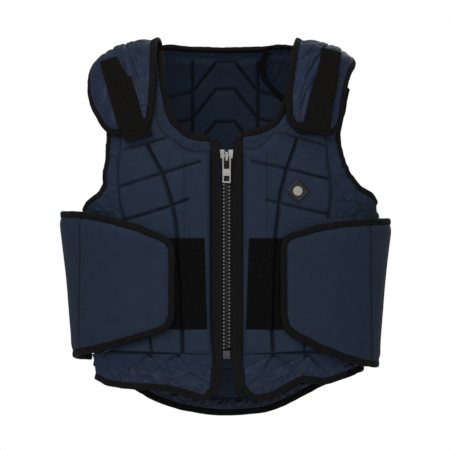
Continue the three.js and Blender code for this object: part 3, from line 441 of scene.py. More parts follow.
@dataclass(frozen=True)
class Woven:
    """Cloth woven from two sets of threads, dyed and left soft or calendered to a shine.

    Threads show as a fine cross-hatch of bumps, wear and dye as a faint mottle, and pressed channels and seams
    get painted shade through the vertex attribute channel.
    """

    name: str
    colour: str
    shade: str
    roughness: float
    thread_mm: float
    thread_bump: float
    specular: float
    crumple_bump: float
    mottle_mm: float = 14.0
    crumple_mm: float = 9.0

    def make(self) -> bpy.types.Material:
        """Build the node tree of the cloth.

        Returns:
            The material.
        """
        cloth = Surface(self.name)
        dye = cloth.mottle(self.mottle_mm, 4.0, 0.6)
        base = cloth.mix(cloth.span(dye, {"From Min": 0.3, "From Max": 0.7}), self.colour, self.shade)
        # painted shade: near-black in pressed channels, seams and folds, through the attribute channel
        cloth.put("Base Color", cloth.pressed(base, "#060912"))
        warp, weft = (cloth.ribs(axis, self.thread_mm, {"Distortion": 0.4, "Detail": 1.0}) for axis in ("X", "Y"))
        threads = cloth.bump(cloth.maths("ADD", warp, weft), self.thread_bump, 0.4 * MM)
        cloth.bump(cloth.mottle(self.crumple_mm, 3.0), self.crumple_bump, 2.0 * MM, threads)
        cloth.put("Roughness", cloth.span(dye, {"To Min": self.roughness - 0.06, "To Max": self.roughness + 0.08}))
        cloth.put("Specular IOR Level", self.specular)
        return cloth.material


@dataclass(frozen=True)
class Pile:
    """Hook or loop tape: a nap of tiny filaments over a woven ground, which drinks light and shows as grain."""

    name: str
    colour: str
    tip: str
    grain_mm: float
    bump: float
    roughness: float = 0.95
    specular: float = 0.06

    def make(self) -> bpy.types.Material:
        """Build the node tree of the nap.

        Returns:
            The material.
        """
        tape = Surface(self.name)
        nap = add_node(tape.tree, "TexVoronoi", {"Scale": 1000.0 / self.grain_mm, "Randomness": 1.0},
                       {"Vector": tape.place})
        fuzz = tape.mottle(self.grain_mm * 4.0, 5.0, 0.7)
        base = tape.mix(tape.span(fuzz, {"From Min": 0.35, "From Max": 0.75}), self.colour, self.tip)
        # painted shade: near-black where the attribute channel is set, in the line pressed into the loop cloth
        tape.put("Base Color", tape.pressed(base, "#030303"))
        tape.bump(tape.maths("ADD", nap.outputs["Distance"], fuzz), self.bump, 0.8 * MM)
        tape.put("Roughness", self.roughness)
        tape.put("Specular IOR Level", self.specular)
        return tape.material


@dataclass(frozen=True)
class Grosgrain:
    """Binding woven with a thick weft, so that ribs run straight across it."""

    name: str
    colour: str
    shade: str
    rib_mm: float
    bump: float
    wear_mm: float = 1000.0 / 90.0
    roughness: float = 0.8
    specular: float = 0.15

    def make(self) -> bpy.types.Material:
        """Build the node tree of the ribbed tape.

        Returns:
            The material.
        """
        tape = Surface(self.name)
        tape.put("Base Color", tape.mix(tape.mottle(self.wear_mm, 4.0), self.colour, self.shade))
        tape.bump(tape.ribs("Y", self.rib_mm, {"Distortion": 0.3}), self.bump, 0.5 * MM)
        tape.put("Roughness", self.roughness)
        tape.put("Specular IOR Level", self.specular)
        return tape.material


@dataclass(frozen=True)
class Moulded:
    """Moulded plastic or plated metal: a smooth surface with faint flow marks and a little wear."""

    name: str
    colour: str
    roughness: float
    metallic: float = 0.0
    mark_mm: float = 2.5
    bump: float = 0.05

    def surface(self) -> Surface:
        """The moulded or plated surface in one colour.

        Returns:
            The surface, for a finish that goes on from it.
        """
        skin = Surface(self.name)
        marks = skin.mottle(self.mark_mm, 3.0)
        skin.put("Roughness", skin.span(marks, {"To Min": self.roughness * 0.75, "To Max": self.roughness * 1.3}))
        skin.bump(marks, self.bump, 0.3 * MM)
        skin.put("Base Color", linear(self.colour))
        skin.put("Metallic", self.metallic)
        return skin

    def make(self) -> bpy.types.Material:
        """Build the node tree of the surface."""
        return self.surface().material


@dataclass(frozen=True)
class PaleEarTeeth:
    """Teeth that are pale at the ears on both sides of the chain and dark on the arms in the middle."""

    name: str
    ear: str
    arm: str
    arm_half: float

    def make(self) -> bpy.types.Material:
        """Build the plastic and set the two tones by the distance from the middle of the chain.

        Returns:
            The material.
        """
        skin = Moulded(self.name, self.ear, 0.4, mark_mm=3.0, bump=0.03).surface()
        outside = skin.maths("GREATER_THAN", skin.beside()[0], self.arm_half)
        skin.put("Base Color", skin.mix(outside, self.arm, self.ear))
        return skin.material


@dataclass(frozen=True)
class PlatedSlider:
    """Nickel-plated slider: bright raised shoulders, with painted shade in the recess under the bridge and at the
    foot.

    The recess is the space between the shoulders, behind the plane of the face; it and the foot take a dark
    colour that is painted shade.
    """

    name: str
    colour: str
    # colour of the painted shade in the recess and at the foot
    painted_shade: str
    recess_half: float
    face: float
    shoulder_foot: float

    def make(self) -> bpy.types.Material:
        """Build the plated metal and mix the painted shade in by place.

        Returns:
            The material.
        """
        skin = Moulded(self.name, self.colour, 0.3, metallic=0.55, mark_mm=4.0, bump=0.03).surface()
        aside, depth, height = skin.beside()
        # painted shade: the recess between the shoulders and the foot, behind the face, take the dark colour
        recess = skin.maths("MAXIMUM", skin.maths("LESS_THAN", aside, self.recess_half),
                            skin.maths("LESS_THAN", height, self.shoulder_foot))
        shade = skin.maths("MULTIPLY", recess, skin.maths("GREATER_THAN", depth, self.face))
        skin.put("Base Color", skin.mix(shade, self.colour, self.painted_shade))
        return skin.material


class Finish(Enum):
    """The vest's finishes, each named for its real material; the value is its recipe."""

    # Matt nylon plain weave over foam: even, with a faint mottle and fine threads
    FOAM_COVER = Woven("nylon_foam_cover", "#223044", "#1F2B3F", 0.70, 1.3, 0.22, specular=0.22, crumple_bump=0.12)
    # The same nylon calendered: smoother, with a soft shine along its folds
    SATIN = Woven("calendered_nylon", "#253148", "#1E293E", 0.46, 1.1, 0.10, specular=0.16, crumple_bump=0.22,
                  crumple_mm=13.0)
    # Thin calendered lining, bunched at the tail
    LINING = Woven("calendered_lining", "#18253F", "#111B30", 0.34, 1.1, 0.08, specular=0.3, crumple_bump=0.4,
                   crumple_mm=7.0)
    # Black edge tape: deep matt black, ribbed straight across
    BINDING = Grosgrain("grosgrain_binding", "#141211", "#0F0E0D", 1.3, 0.5)
    # Hook tape with a short stiff nap, and brushed loop cloth, a little deeper black
    HOOK = Pile("hook_tape_nap", "#151413", "#1C1B1A", 1.2, 0.7)
    LOOP = Pile("brushed_loop_nap", "#0B0B0B", "#191919", 0.9, 0.9)
    # Zip tape, woven finer than the binding
    ZIP_TAPE = Grosgrain("woven_zip_tape", "#151416", "#101011", 1.1, 0.35)
    # Moulded acetal: grey teeth, pale at the ears and dark in the middle, and the darker box at the foot
    TOOTH = PaleEarTeeth("moulded_acetal_tooth", "#747477", "#252527", 2.7 * MM)
    BOX = Moulded("moulded_acetal_box", "#3E3E40", 0.36)
    # Nickel plate, bright but a little clouded
    NICKEL = Moulded("nickel_plate", "#ABA9A6", 0.30, metallic=0.55, mark_mm=4.0, bump=0.03)
    # Near-black rubber badge with a pale enamel disc
    BADGE = Moulded("moulded_rubber_badge", "#15110F", 0.5, mark_mm=1.2, bump=0.2)
    DISC = Moulded("pale_enamel_disc", "#A9A69E", 0.35)
    # The pull's nickel on the slider, with painted shade in the recess between its shoulders and at its foot
    SLIDER = PlatedSlider("nickel_slider_plate", "#ABA9A6", "#121213", 2.7 * MM, -99.2 * MM, -141.0 * MM)


class Wardrobe:
    """Materials made once and handed to the pieces."""

    def __init__(self) -> None:
        """Start with nothing made."""
        self.made: dict[Finish, bpy.types.Material] = {}

    def get(self, finish: Finish) -> bpy.types.Material:
        """The material of a finish, made at its first use.

        Args:
            finish: The finish.

        Returns:
            Its material.
        """
        if finish not in self.made:
            self.made[finish] = finish.value.make()
        return self.made[finish]


WARDROBE = Wardrobe()


def arc_lengths(points: np.ndarray, axis: int) -> np.ndarray:
    """Running length along one axis of a grid of points, from its first row or column."""
    steps = np.linalg.norm(np.diff(points, axis=axis), axis=-1)
    return np.concatenate([np.zeros_like(np.take(steps, [0], axis=axis)), np.cumsum(steps, axis=axis)], axis=axis)


def link_mesh(name: str, mesh: bpy.types.Mesh) -> bpy.types.Object:
    """Object at the origin for a mesh, shaded smooth and linked to the scene.

    Args:
        name: Name of the object.
        mesh: Its mesh.

    Returns:
        The new object.
    """
    mesh.shade_smooth()
    piece = bpy.data.objects.new(name, mesh)
    bpy.context.scene.collection.objects.link(piece)
    return piece


def add_mesh(name: str, points: np.ndarray, faces: list[list[int]], uv: np.ndarray | None = None,
             channel: np.ndarray | None = None) -> bpy.types.Object:
    """Make a smooth-shaded mesh object at the origin.

    Args:
        name: Name of the piece.
        points: One point per row.
        faces: Corner numbers of each face.
        uv: Cloth coordinates in metres, one per point.
        channel: Share of painted shade in channels, seams and folds, one per point.

    Returns:
        The new object, linked to the scene.
    """
    mesh = bpy.data.meshes.new(name)
    mesh.from_pydata(points.tolist(), [], faces)
    if uv is not None:
        corners = np.empty(len(mesh.loops), dtype=np.int32)
        mesh.loops.foreach_get("vertex_index", corners)
        mesh.uv_layers.new(name="cloth").data.foreach_set("uv", uv[corners].astype(np.float32).ravel())
    if channel is not None:
        mesh.attributes.new("channel", "FLOAT", "POINT").data.foreach_set("value", channel.astype(np.float32))
    return link_mesh(name, mesh)


def face_out(piece: bpy.types.Object) -> None:
    """Turn all faces outwards when the enclosed volume comes out negative.

    Args:
        piece: Closed piece whose mesh may be turned.
    """
    shape = bmesh.new()
    shape.from_mesh(piece.data)
    if shape.calc_volume(signed=True) < 0.0:
        bmesh.ops.reverse_faces(shape, faces=shape.faces)
        shape.to_mesh(piece.data)
    shape.free()


def grid_faces(rows: int, columns: int, start: int = 0, flip: bool = False) -> np.ndarray:
    """Quads of a grid whose points are numbered row by row from start.

    Args:
        rows: Number of rows of points.
        columns: Points in a row.
        start: Number of the first point.
        flip: Whether the faces look the other way.

    Returns:
        Corner numbers, four per quad.
    """
    i, j = np.meshgrid(np.arange(rows - 1), np.arange(columns - 1), indexing="ij")
    corner = start + (i * columns + j).ravel()
    quads = np.stack([corner, corner + columns, corner + columns + 1, corner + 1], axis=1)
    return quads[:, ::-1] if flip else quads


def shell(name: str, outer: np.ndarray, inner: np.ndarray, channel: np.ndarray | None = None) -> bpy.types.Object:
    """Closed solid between two grids of points that share their rim.

    Args:
        name: Name of the piece.
        outer: Grid of the outer face, rows by columns by three.
        inner: Grid of the inner face, of the same shape.
        channel: Painted shade of each grid point, used for both faces.

    Returns:
        The closed piece, with the map "cloth" in metres along its rows and columns.
    """
    rows, columns = outer.shape[:2]
    count = rows * columns
    ring = np.concatenate([np.arange(columns), columns - 1 + columns * np.arange(1, rows),
                           count - 2 - np.arange(columns - 1), columns * np.arange(rows - 2, 0, -1)])
    after = np.roll(ring, -1)
    rim = np.stack([ring, after, after + count, ring + count], axis=1)
    faces = np.concatenate([grid_faces(rows, columns), grid_faces(rows, columns, count, flip=True), rim])
    uv = np.stack([arc_lengths(outer, 1), arc_lengths(outer, 0)], axis=-1).reshape(-1, 2)
    dark = np.zeros(count) if channel is None else channel.ravel()
    piece = add_mesh(name, np.concatenate([outer.reshape(-1, 3), inner.reshape(-1, 3)]), faces.tolist(),
                     np.concatenate([uv, uv]), np.concatenate([dark, dark]))
    face_out(piece)
    return piece


def sweep(name: str, path: np.ndarray, aside: np.ndarray, up: np.ndarray,
          profile: np.ndarray) -> bpy.types.Object:
    """Closed bar: a profile carried along a path, with flat ends.

    Args:
        name: Name of the piece.
        path: Points of the path.
        aside: Unit vectors for the profile's first coordinate.
        up: Unit vectors for its second coordinate.
        profile: Corners, one profile for all points or one per point.

    Returns:
        The bar, with the map "cloth" in metres round and along it.
    """
    shape = np.broadcast_to(profile, (len(path), *profile.shape[-2:]))
    points = path[:, None] + aside[:, None] * shape[..., :1] + up[:, None] * shape[..., 1:]
    rows, corners = points.shape[:2]
    ring = np.concatenate([points, points[:, :1]], axis=1)
    uv = np.stack([arc_lengths(ring, 1)[:, :-1], arc_lengths(points, 0)], axis=-1).reshape(-1, 2)
    i, k = np.meshgrid(np.arange(rows - 1), np.arange(corners), indexing="ij")
    here, beside = (i * corners + k).ravel(), (i * corners + (k + 1) % corners).ravel()
    sides = np.stack([here, beside, beside + corners, here + corners], axis=1).tolist()
    ends = [list(range(corners - 1, -1, -1)), list(range((rows - 1) * corners, rows * corners))]
    piece = add_mesh(name, points.reshape(-1, 3), sides + ends, uv)
    face_out(piece)
    return piece


def dress(piece: bpy.types.Object, finish: Finish, slot: str, *nodes: str, body: str = "vest") -> bpy.types.Object:
    """Give a piece its finish and the body it rides on, and hide the nodes it stands for.

    Args:
        piece: The piece.
        finish: Its finish.
        slot: Material slot of the record; not used.
        nodes: Nodes that it replaces.
        body: Body that it moves with.

    Returns:
        The same piece.
    """
    piece.data.materials.clear()
    piece.data.materials.append(WARDROBE.get(finish))
    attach(piece, body)
    if nodes:
        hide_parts(*nodes)
    LOG.info("%s: %d faces, %s", piece.name, len(piece.data.polygons), finish.name.lower())
    return piece


@dataclass
class Edge:
    """A stretch of a panel's rim: its mid points, thickness vectors and the way out of the panel."""

    middle: np.ndarray
    up: np.ndarray
    half: np.ndarray
    away: np.ndarray

    @staticmethod
    def of(outer: np.ndarray, inner: np.ndarray, index: tuple[object, object],
           inside: tuple[object, object]) -> "Edge":
        """Read a rim from the two faces of a panel.

        Args:
            outer: Grid of the outer face.
            inner: Grid of the inner face.
            index: Rows and columns of the rim.
            inside: Rows and columns of the points next to it, further in.

        Returns:
            The edge.
        """
        top, low = outer[index], inner[index]
        middle = (top + low) / 2.0
        return Edge(middle, unit(top - low), np.linalg.norm(top - low, axis=-1) / 2.0,
                    middle - (outer[inside] + inner[inside]) / 2.0)

    def join(self, other: "Edge") -> "Edge":
        """This edge followed by another one."""
        return Edge(*(np.concatenate([getattr(self, key), getattr(other, key)])
                      for key in ("middle", "up", "half", "away")))

    def reach(self, length: float) -> "Edge":
        """The edge carried on straight before its start by a length.

        Args:
            length: Added length.

        Returns:
            The longer edge.
        """
        ahead = self.middle[0] + unit(self.middle[0] - self.middle[3]) * length
        return Edge(np.vstack([ahead, self.middle]), np.vstack([self.up[:1], self.up]),
                    np.append(self.half[:1], self.half), np.vstack([self.away[:1], self.away]))

    def back(self) -> "Edge":
        """The same edge, run the other way."""
        return Edge(self.middle[::-1], self.up[::-1], self.half[::-1], self.away[::-1])

    def even(self, step: float) -> "Edge":
        """The same edge at equal steps of length.

        Args:
            step: Distance between points.

        Returns:
            The edge with evenly spaced points.
        """
        length = arc_lengths(self.middle, 0)
        keep = np.concatenate([[True], np.diff(length) > 1e-6])
        at = np.linspace(0.0, length[-1], max(3, int(length[-1] / step)))
        read = [np.stack([np.interp(at, length[keep], part[keep][:, k]) for k in range(3)], axis=1)
                for part in (self.middle, self.up, self.away)]
        return Edge(read[0], unit(read[1]), np.interp(at, length[keep], self.half[keep]), read[2])


def eased(values: np.ndarray, rounds: int) -> np.ndarray:
    """Repeated mean of each row with its neighbours, with the ends held.

    Args:
        values: One row per point.
        rounds: How often the mean is taken.

    Returns:
        The smoothed rows.
    """
    for _ in range(rounds):
        values = np.concatenate([values[:1], (values[:-2] + 2 * values[1:-1] + values[2:]) / 4.0, values[-1:]])
    return values


@dataclass
class Binding:
    """Tape folded over an edge and sewn through: a rounded bar with a pinched look."""

    name: str
    edge: Edge
    width: float = 9.2 * MM
    tuck: float = 0.9 * MM
    proud: float = 0.8 * MM
    corners: int = 18
    squareness: float = 3.2
    step: float = 1.9 * MM
    waver: float = 0.35 * MM
    ease: int = 5
    seed: int = 3

    def build(self) -> bpy.types.Object:
        """Carry a superellipse along the edge; its size wavers as sewn tape does.

        Returns:
            The strip.
        """
        edge = self.edge.even(self.step)
        middle, up = eased(edge.middle, self.ease), unit(eased(edge.up, self.ease))
        tangent = unit(np.gradient(middle, axis=0))
        aside = unit(np.cross(tangent, up))
        aside = aside * np.where((aside * edge.away).sum(axis=1) < 0.0, -1.0, 1.0)[:, None]
        aside = unit(eased(aside, self.ease))
        up = unit(np.cross(aside, tangent) * np.sign((np.cross(aside, tangent) * up).sum(axis=1))[:, None])
        length = arc_lengths(middle, 0)
        pinch = noise(length / (6.0 * MM), np.zeros_like(length), self.seed)
        half = edge.half + self.proud / 2.0 + self.waver * pinch
        angle = np.linspace(0.0, 2.0 * math.pi, self.corners, endpoint=False)
        power = 2.0 / self.squareness
        ring = np.stack([np.sign(np.cos(angle)) * np.abs(np.cos(angle)) ** power,
                         np.sign(np.sin(angle)) * np.abs(np.sin(angle)) ** power], axis=1)
        drift = noise(length / (11.0 * MM), np.zeros_like(length), self.seed + 5)
        centre = self.width / 2.0 - self.tuck + self.waver * drift
        profile = np.stack([centre[:, None] + ring[None, :, 0] * self.width / 2.0,
                            self.proud / 2.0 + ring[None, :, 1] * half[:, None]], axis=-1)
        piece = sweep(f"{self.name}_strip", middle, aside, up, profile)
        return dress(piece, Finish.BINDING, "edge_binding", self.name)


def laid(name: str, place: tuple[np.ndarray, np.ndarray], high: np.ndarray, low: np.ndarray,
         channel: np.ndarray | None = None) -> bpy.types.Object:
    """Closed thin piece that lies over the body.

    Args:
        name: Name of the piece.
        place: Angle and climb of its points.
        high: Lift of its outer face.
        low: Lift of its inner face.
        channel: Painted shade of each point.

    Returns:
        The piece.
    """
    return shell(name, BODY.point(*place, high), BODY.point(*place, low), channel)


def channel_profile(distance: np.ndarray, half_width: float) -> np.ndarray:
    """Depth share of a pressed channel: 1 on its line, falling as a bell over its half width."""
    return np.exp(-(distance / half_width) ** 2)


@dataclass
class FoamSizes:
    """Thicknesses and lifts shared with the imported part."""

    front: float = 16.0 * MM
    back: float = 18.0 * MM
    tab: float = 12.0 * MM
    yoke: float = 9.0 * MM
    wing: float = 8.0 * MM
    rim_wall: float = 5.5 * MM
    rim_lift: float = 4.5 * MM
    rest: float = 0.4 * MM
    tape: float = 1.5 * MM
    pressed: float = 4.3 * MM
    cloth: float = 2.6 * MM


FOAM = FoamSizes()


def rim_points(table: np.ndarray, across: int, down: int, towards: int, width: np.ndarray) -> np.ndarray:
    """Points moved inwards from one end of a panel's rows, square to that end's line.

    Args:
        table: Section table.
        across: Column of the end's across.
        down: Column of its down.
        towards: 1 or -1, the side on which the panel lies.
        width: Shift for each row, as a share of the half width.

    Returns:
        Across and down of the moved points.
    """
    ends = table[:, [across, down]] * FRONT_VIEW
    tangent = np.empty_like(ends)
    tangent[1:-1] = ends[2:] - ends[:-2]
    tangent[0], tangent[-1] = ends[1] - ends[0], ends[-1] - ends[-2]
    tangent = unit(tangent)
    shift = towards * width * BODY.half_width
    return np.stack([table[:, across] + tangent[:, 1] * shift / BODY.half_width,
                     table[:, down] - tangent[:, 0] * shift / BODY.height], axis=1)


@dataclass(frozen=True)
class FrontLines:
    """Sewn and pressed lines of one front, as (across, down) corners in the front view.

    Cross lines and the curve are pressed channels; the neck line parts the foam from the loose rim under the
    neck binding, and the arm line parts it from the loose cloth of the armhole.
    """

    cross: tuple[tuple[tuple[float, float], ...], ...]
    curve: tuple[tuple[float, float], ...]
    neck: tuple[tuple[float, float], ...]
    arm: tuple[tuple[float, float], ...]
    seam_across: float

    @staticmethod
    def scaled(line: tuple[tuple[float, float], ...]) -> np.ndarray:
        """The corners in metres from the middle and the top."""
        return np.array(line) * FRONT_VIEW


LINES_RIGHT = FrontLines(
    cross=(((0.352, 0.262), (0.661, 0.299)), ((0.164, 0.328), (0.412, 0.362), (0.659, 0.395)),
           ((0.236, 0.427), (0.327, 0.443), (0.612, 0.483), (0.800, 0.500)), ((0.471, 0.790), (0.456, 0.836))),
    curve=((0.491, 0.284), (0.442, 0.318), (0.394, 0.358), (0.360, 0.400), (0.333, 0.443), (0.315, 0.480),
           (0.301, 0.531), (0.282, 0.633), (0.273, 0.735), (0.270, 0.833)),
    neck=((0.000, 0.301), (0.109, 0.301), (0.160, 0.302), (0.218, 0.300), (0.279, 0.289), (0.318, 0.273),
          (0.352, 0.256), (0.400, 0.215)),
    arm=((0.661, 0.285), (0.672, 0.340), (0.673, 0.393), (0.660, 0.440), (0.630, 0.495)),
    seam_across=0.258)
LINES_LEFT = FrontLines(
    cross=(((0.327, 0.247), (0.436, 0.263), (0.621, 0.285)), ((0.158, 0.328), (0.358, 0.346), (0.629, 0.375)),
           ((0.250, 0.430), (0.629, 0.469), (0.800, 0.474), (0.907, 0.473)), ((0.482, 0.790), (0.476, 0.828))),
    curve=((0.439, 0.267), (0.404, 0.305), (0.370, 0.347), (0.332, 0.408), (0.312, 0.483), (0.300, 0.528),
           (0.285, 0.623), (0.279, 0.769), (0.285, 0.828)),
    neck=((0.000, 0.294), (0.103, 0.294), (0.165, 0.293), (0.212, 0.286), (0.256, 0.268), (0.288, 0.252),
          (0.327, 0.240), (0.350, 0.199)),
    arm=((0.621, 0.270), (0.629, 0.334), (0.645, 0.380), (0.650, 0.410), (0.630, 0.480)),
    seam_across=0.246)


@dataclass
class FrontPanel:
    """One front: foam blocks between pressed channels, a loose rim and a tab under the yoke.

    The section table has, for each row, the across and down of the neck end and of the arm end and the width of
    the rim at the neck end. Row numbers name places along the panel, from the tab's end down to the foot.
    """

    side: Side
    table: np.ndarray
    lines: FrontLines
    arm_rim: float = 0.065
    rows_mm: float = 1.9
    main_columns: int = 116
    rim_columns: int = 7
    neck_row: float = 8.0
    arm_rows: tuple[float, float] = (3.0, 11.3)
    end_row: float = 0.4
    drawn_rows: tuple[float, float] = (3.3, 3.9)
    front_rows: tuple[float, float] = (5.0, 5.6)
    tab_rows: tuple[float, float] = (5.0, 6.0)
    seam_start: tuple[float, float] = (0.302, 0.306)
    seam_stop: tuple[float, float] = (0.525, 0.532)
    outer: np.ndarray = field(init=False)
    inner: np.ndarray = field(init=False)
    rows: np.ndarray = field(init=False)

    def sections(self, position: np.ndarray) -> tuple[np.ndarray, np.ndarray, np.ndarray]:
        """Table, inner seam and outer seam at fractional row numbers.

        Args:
            position: Fractional row numbers.

        Returns:
            Table rows, and across and down of the neck seam and of the armhole seam.
        """
        neck = rim_points(self.table, 0, 1, 1, self.table[:, 4])
        arm = rim_points(self.table, 2, 3, -1, np.full(len(self.table), self.arm_rim))
        return along(self.table, position), along(neck, position), along(arm, position)

    def spread_rows(self) -> None:
        """Set the rows at even steps of length down the panel's middle."""
        coarse = np.linspace(0.0, len(self.table) - 1.0, 400)
        _, neck, arm = self.sections(coarse)
        length = arc_lengths((neck + arm) / 2 * FRONT_VIEW, 0)
        rows = np.interp(np.arange(0.0, length[-1], self.rows_mm * MM), length, coarse)
        self.rows = np.append(rows, len(self.table) - 1.0)

    def share(self, rows: tuple[float, float]) -> np.ndarray:
        """Step from 0 to 1 between two row numbers, as a column."""
        return smooth(*rows, self.rows)[:, None]

    def build(self) -> None:
        """Work out both faces and make the panel with its two bindings."""
        self.spread_rows()
        cells, neck, arm = self.sections(self.rows)
        edge_in, edge_out = cells[:, 0:2], cells[:, 2:4]
        ease = np.linspace(0.0, 1.0, self.rim_columns, endpoint=False)
        spread = np.linspace(0.0, 1.0, self.main_columns)
        stations = [edge_in[:, None] * (1 - s) + neck[:, None] * s for s in ease]
        stations += [neck[:, None] * (1 - s) + arm[:, None] * s for s in spread]
        stations += [arm[:, None] * (1 - s) + edge_out[:, None] * s for s in np.append(ease[1:], 1.0)]
        grid = np.concatenate(stations, axis=1)
        column = np.arange(grid.shape[1])
        past_neck = np.where(column >= self.rim_columns, 1.0, -1.0)
        before_arm = np.where(column < self.rim_columns + self.main_columns, 1.0, -1.0)
        flat = grid * FRONT_VIEW
        from_neck = np.linalg.norm(flat - (neck * FRONT_VIEW)[:, None], axis=-1) * past_neck
        from_arm = np.linalg.norm(flat - (arm * FRONT_VIEW)[:, None], axis=-1) * before_arm
        high, dark = self.relief(grid, edge_in, from_neck, from_arm)
        low = FOAM.rim_lift * np.where(past_neck + before_arm > 1.0, 0.0, 1.0)
        turn, climb = BODY.seen(self.side.value, grid[..., 0], grid[..., 1], FOAM.front)
        self.outer, self.inner = BODY.point(turn, climb, high), BODY.point(turn, climb, low)
        name = f"front_panel_{self.side.word}"
        piece = dress(shell(f"{name}_foam", self.outer, self.inner, dark), Finish.FOAM_COVER, "foam_cover", name)
        self.bind()

    def relief(self, grid: np.ndarray, edge_in: np.ndarray, from_neck: np.ndarray,
               from_arm: np.ndarray) -> tuple[np.ndarray, np.ndarray]:
        """Lift of the outer face and its painted shade.

        The foam swells as the root of a smooth step off its seams, pressed channels fall as bells about their
        lines with a shallow dip beside them, and the loose rims beyond the seams take the puckers.

        Args:
            grid: Across and down of the points.
            edge_in: Across and down of the neck and zip edge, by row.
            from_neck: Distance from the neck seam, negative in the loose rim.
            from_arm: The same from the armhole seam.

        Returns:
            Lift off the body and share of painted shade.
        """
        across, down = grid[..., 0], grid[..., 1]
        x, z = across * BODY.half_width, down * BODY.height
        front = self.share(self.front_rows)
        neck_cut, arm_cut = self.cuts(x, z, down)
        from_neck = from_neck * (1 - front) + neck_cut * front
        from_arm = np.where(arm_cut < 1.0, from_arm * (1 - front) + arm_cut * front, from_arm)
        from_foot = (self.table[-1, 1] - down) * BODY.height
        beyond = np.where(self.rows >= self.neck_row, 0.0, 1.0)[:, None]
        from_zip = beyond + (across - edge_in[:, None, 0]) * BODY.half_width
        seam = np.minimum(np.minimum(from_neck, from_arm), np.minimum(from_foot + 3 * MM, from_zip + 2.2 * MM))
        swell = smooth(-0.5 * MM, 8.0 * MM, seam) ** 0.5
        full = FOAM.tab + (FOAM.front - FOAM.tab) * self.share(self.tab_rows)
        full = full * np.where(self.rows < self.end_row, 0.75, 1.0)[:, None]
        thin = np.min([line_distance(x, z, FrontLines.scaled(line)) for line in self.lines.cross], axis=0)
        bold = line_distance(x, z, FrontLines.scaled(self.lines.curve))
        pressed = np.maximum(channel_profile(thin, 1.3 * MM), channel_profile(bold, 2.0 * MM))
        pressed = pressed * self.share(self.drawn_rows)
        shallow = (1.1 * MM * np.exp(-thin / (6.0 * MM)) + 1.3 * MM * np.exp(-bold / (7.0 * MM))) * front
        stitched = channel_profile(x - self.lines.seam_across * BODY.half_width, 0.8 * MM)
        stitched = stitched * smooth(*self.seam_start, down) * (1 - smooth(*self.seam_stop, down))
        pucker = self.puckers(x, z, np.minimum(from_neck, from_arm), arc_lengths(grid * FRONT_VIEW, 0))
        soft = (0.45 * MM * noise(x / (34 * MM), z / (46 * MM), 11)
                + 0.25 * MM * creases(x / (30 * MM), z / (26 * MM), 5))
        rim_top = FOAM.rim_lift + FOAM.rim_wall
        sunk = FOAM.pressed * pressed * full / FOAM.front + shallow + 0.6 * MM * stitched
        high = rim_top + (full - rim_top + soft - sunk) * swell + pucker * (1 - swell)
        # painted shade along the seams of the foam, faded out at the foot
        painted_seam_shade = channel_profile(seam, 1.3 * MM) * smooth(0.0, 3.0 * MM, from_foot)
        # painted shadow beside the zip tape, where the tape sits lower than the foam
        painted_zip_shadow = 0.6 * np.exp(-np.maximum(from_zip, 0.0) / (1.6 * MM))
        # painted shade in the pressed channels; the stitched line is darkened too
        dark = np.maximum(pressed * swell, 0.8 * painted_seam_shade) + 0.5 * stitched * swell + painted_zip_shadow
        return high, np.clip(dark, 0.0, 1.0)

    def cuts(self, x: np.ndarray, z: np.ndarray, down: np.ndarray) -> tuple[np.ndarray, np.ndarray]:
        """Signed distances into the foam from the neck line and the arm line; 1 m past the arm line's foot.

        Args:
            x: Distance aside in metres.
            z: Distance down in metres.
            down: Share of the height.

        Returns:
            Distances from the neck line and from the arm line.
        """
        neck, arm = FrontLines.scaled(self.lines.neck), FrontLines.scaled(self.lines.arm)
        under = np.where(z > np.interp(x, neck[:, 0], neck[:, 1]), 1.0, -1.0)
        within = np.where(x < np.interp(z, arm[:, 1], arm[:, 0]), 1.0, -1.0)
        beside = np.where(down < self.lines.arm[-1][1], line_distance(x, z, arm) * within, 1.0)
        return line_distance(x, z, neck) * under, beside

    def puckers(self, x: np.ndarray, z: np.ndarray, inside: np.ndarray, length: np.ndarray) -> np.ndarray:
        """Gathers of the loose cloth: short folds square to the edge, and broad ones where the cloth is wide.

        Args:
            x: Distance aside in metres.
            z: Distance down in metres.
            inside: Distance into the foam, negative in the loose cloth.
            length: Length along the edge.

        Returns:
            Height of the gathers.
        """
        depth = np.maximum(-inside, 0.0)
        body = smooth(0.0, 4.0 * MM, depth)
        short = creases(length / (6.5 * MM), depth / (20.0 * MM), 21) - 0.3
        broad = creases((x + z) / (17.0 * MM), (x - z) / (30.0 * MM), 23) - 0.3
        return body * (3.0 * MM * short + 3.4 * MM * broad * smooth(8 * MM, 26 * MM, depth))

    def bind(self) -> None:
        """Bind the neck edge down to the zip and the edge of the armhole."""
        last = self.outer.shape[1] - 1
        neck = np.nonzero(self.rows <= self.neck_row)[0]
        edge = Edge.of(self.outer, self.inner, (neck, 0), (neck, 2)).reach(7 * MM)
        Binding(f"neck_binding_{self.side.word}", edge).build()
        arm = np.nonzero((self.rows >= self.arm_rows[0]) & (self.rows <= self.arm_rows[1]))[0]
        edge = Edge.of(self.outer, self.inner, (arm, last), (arm, last - 2))
        Binding(f"armhole_binding_{self.side.word}", edge, seed=9).build()


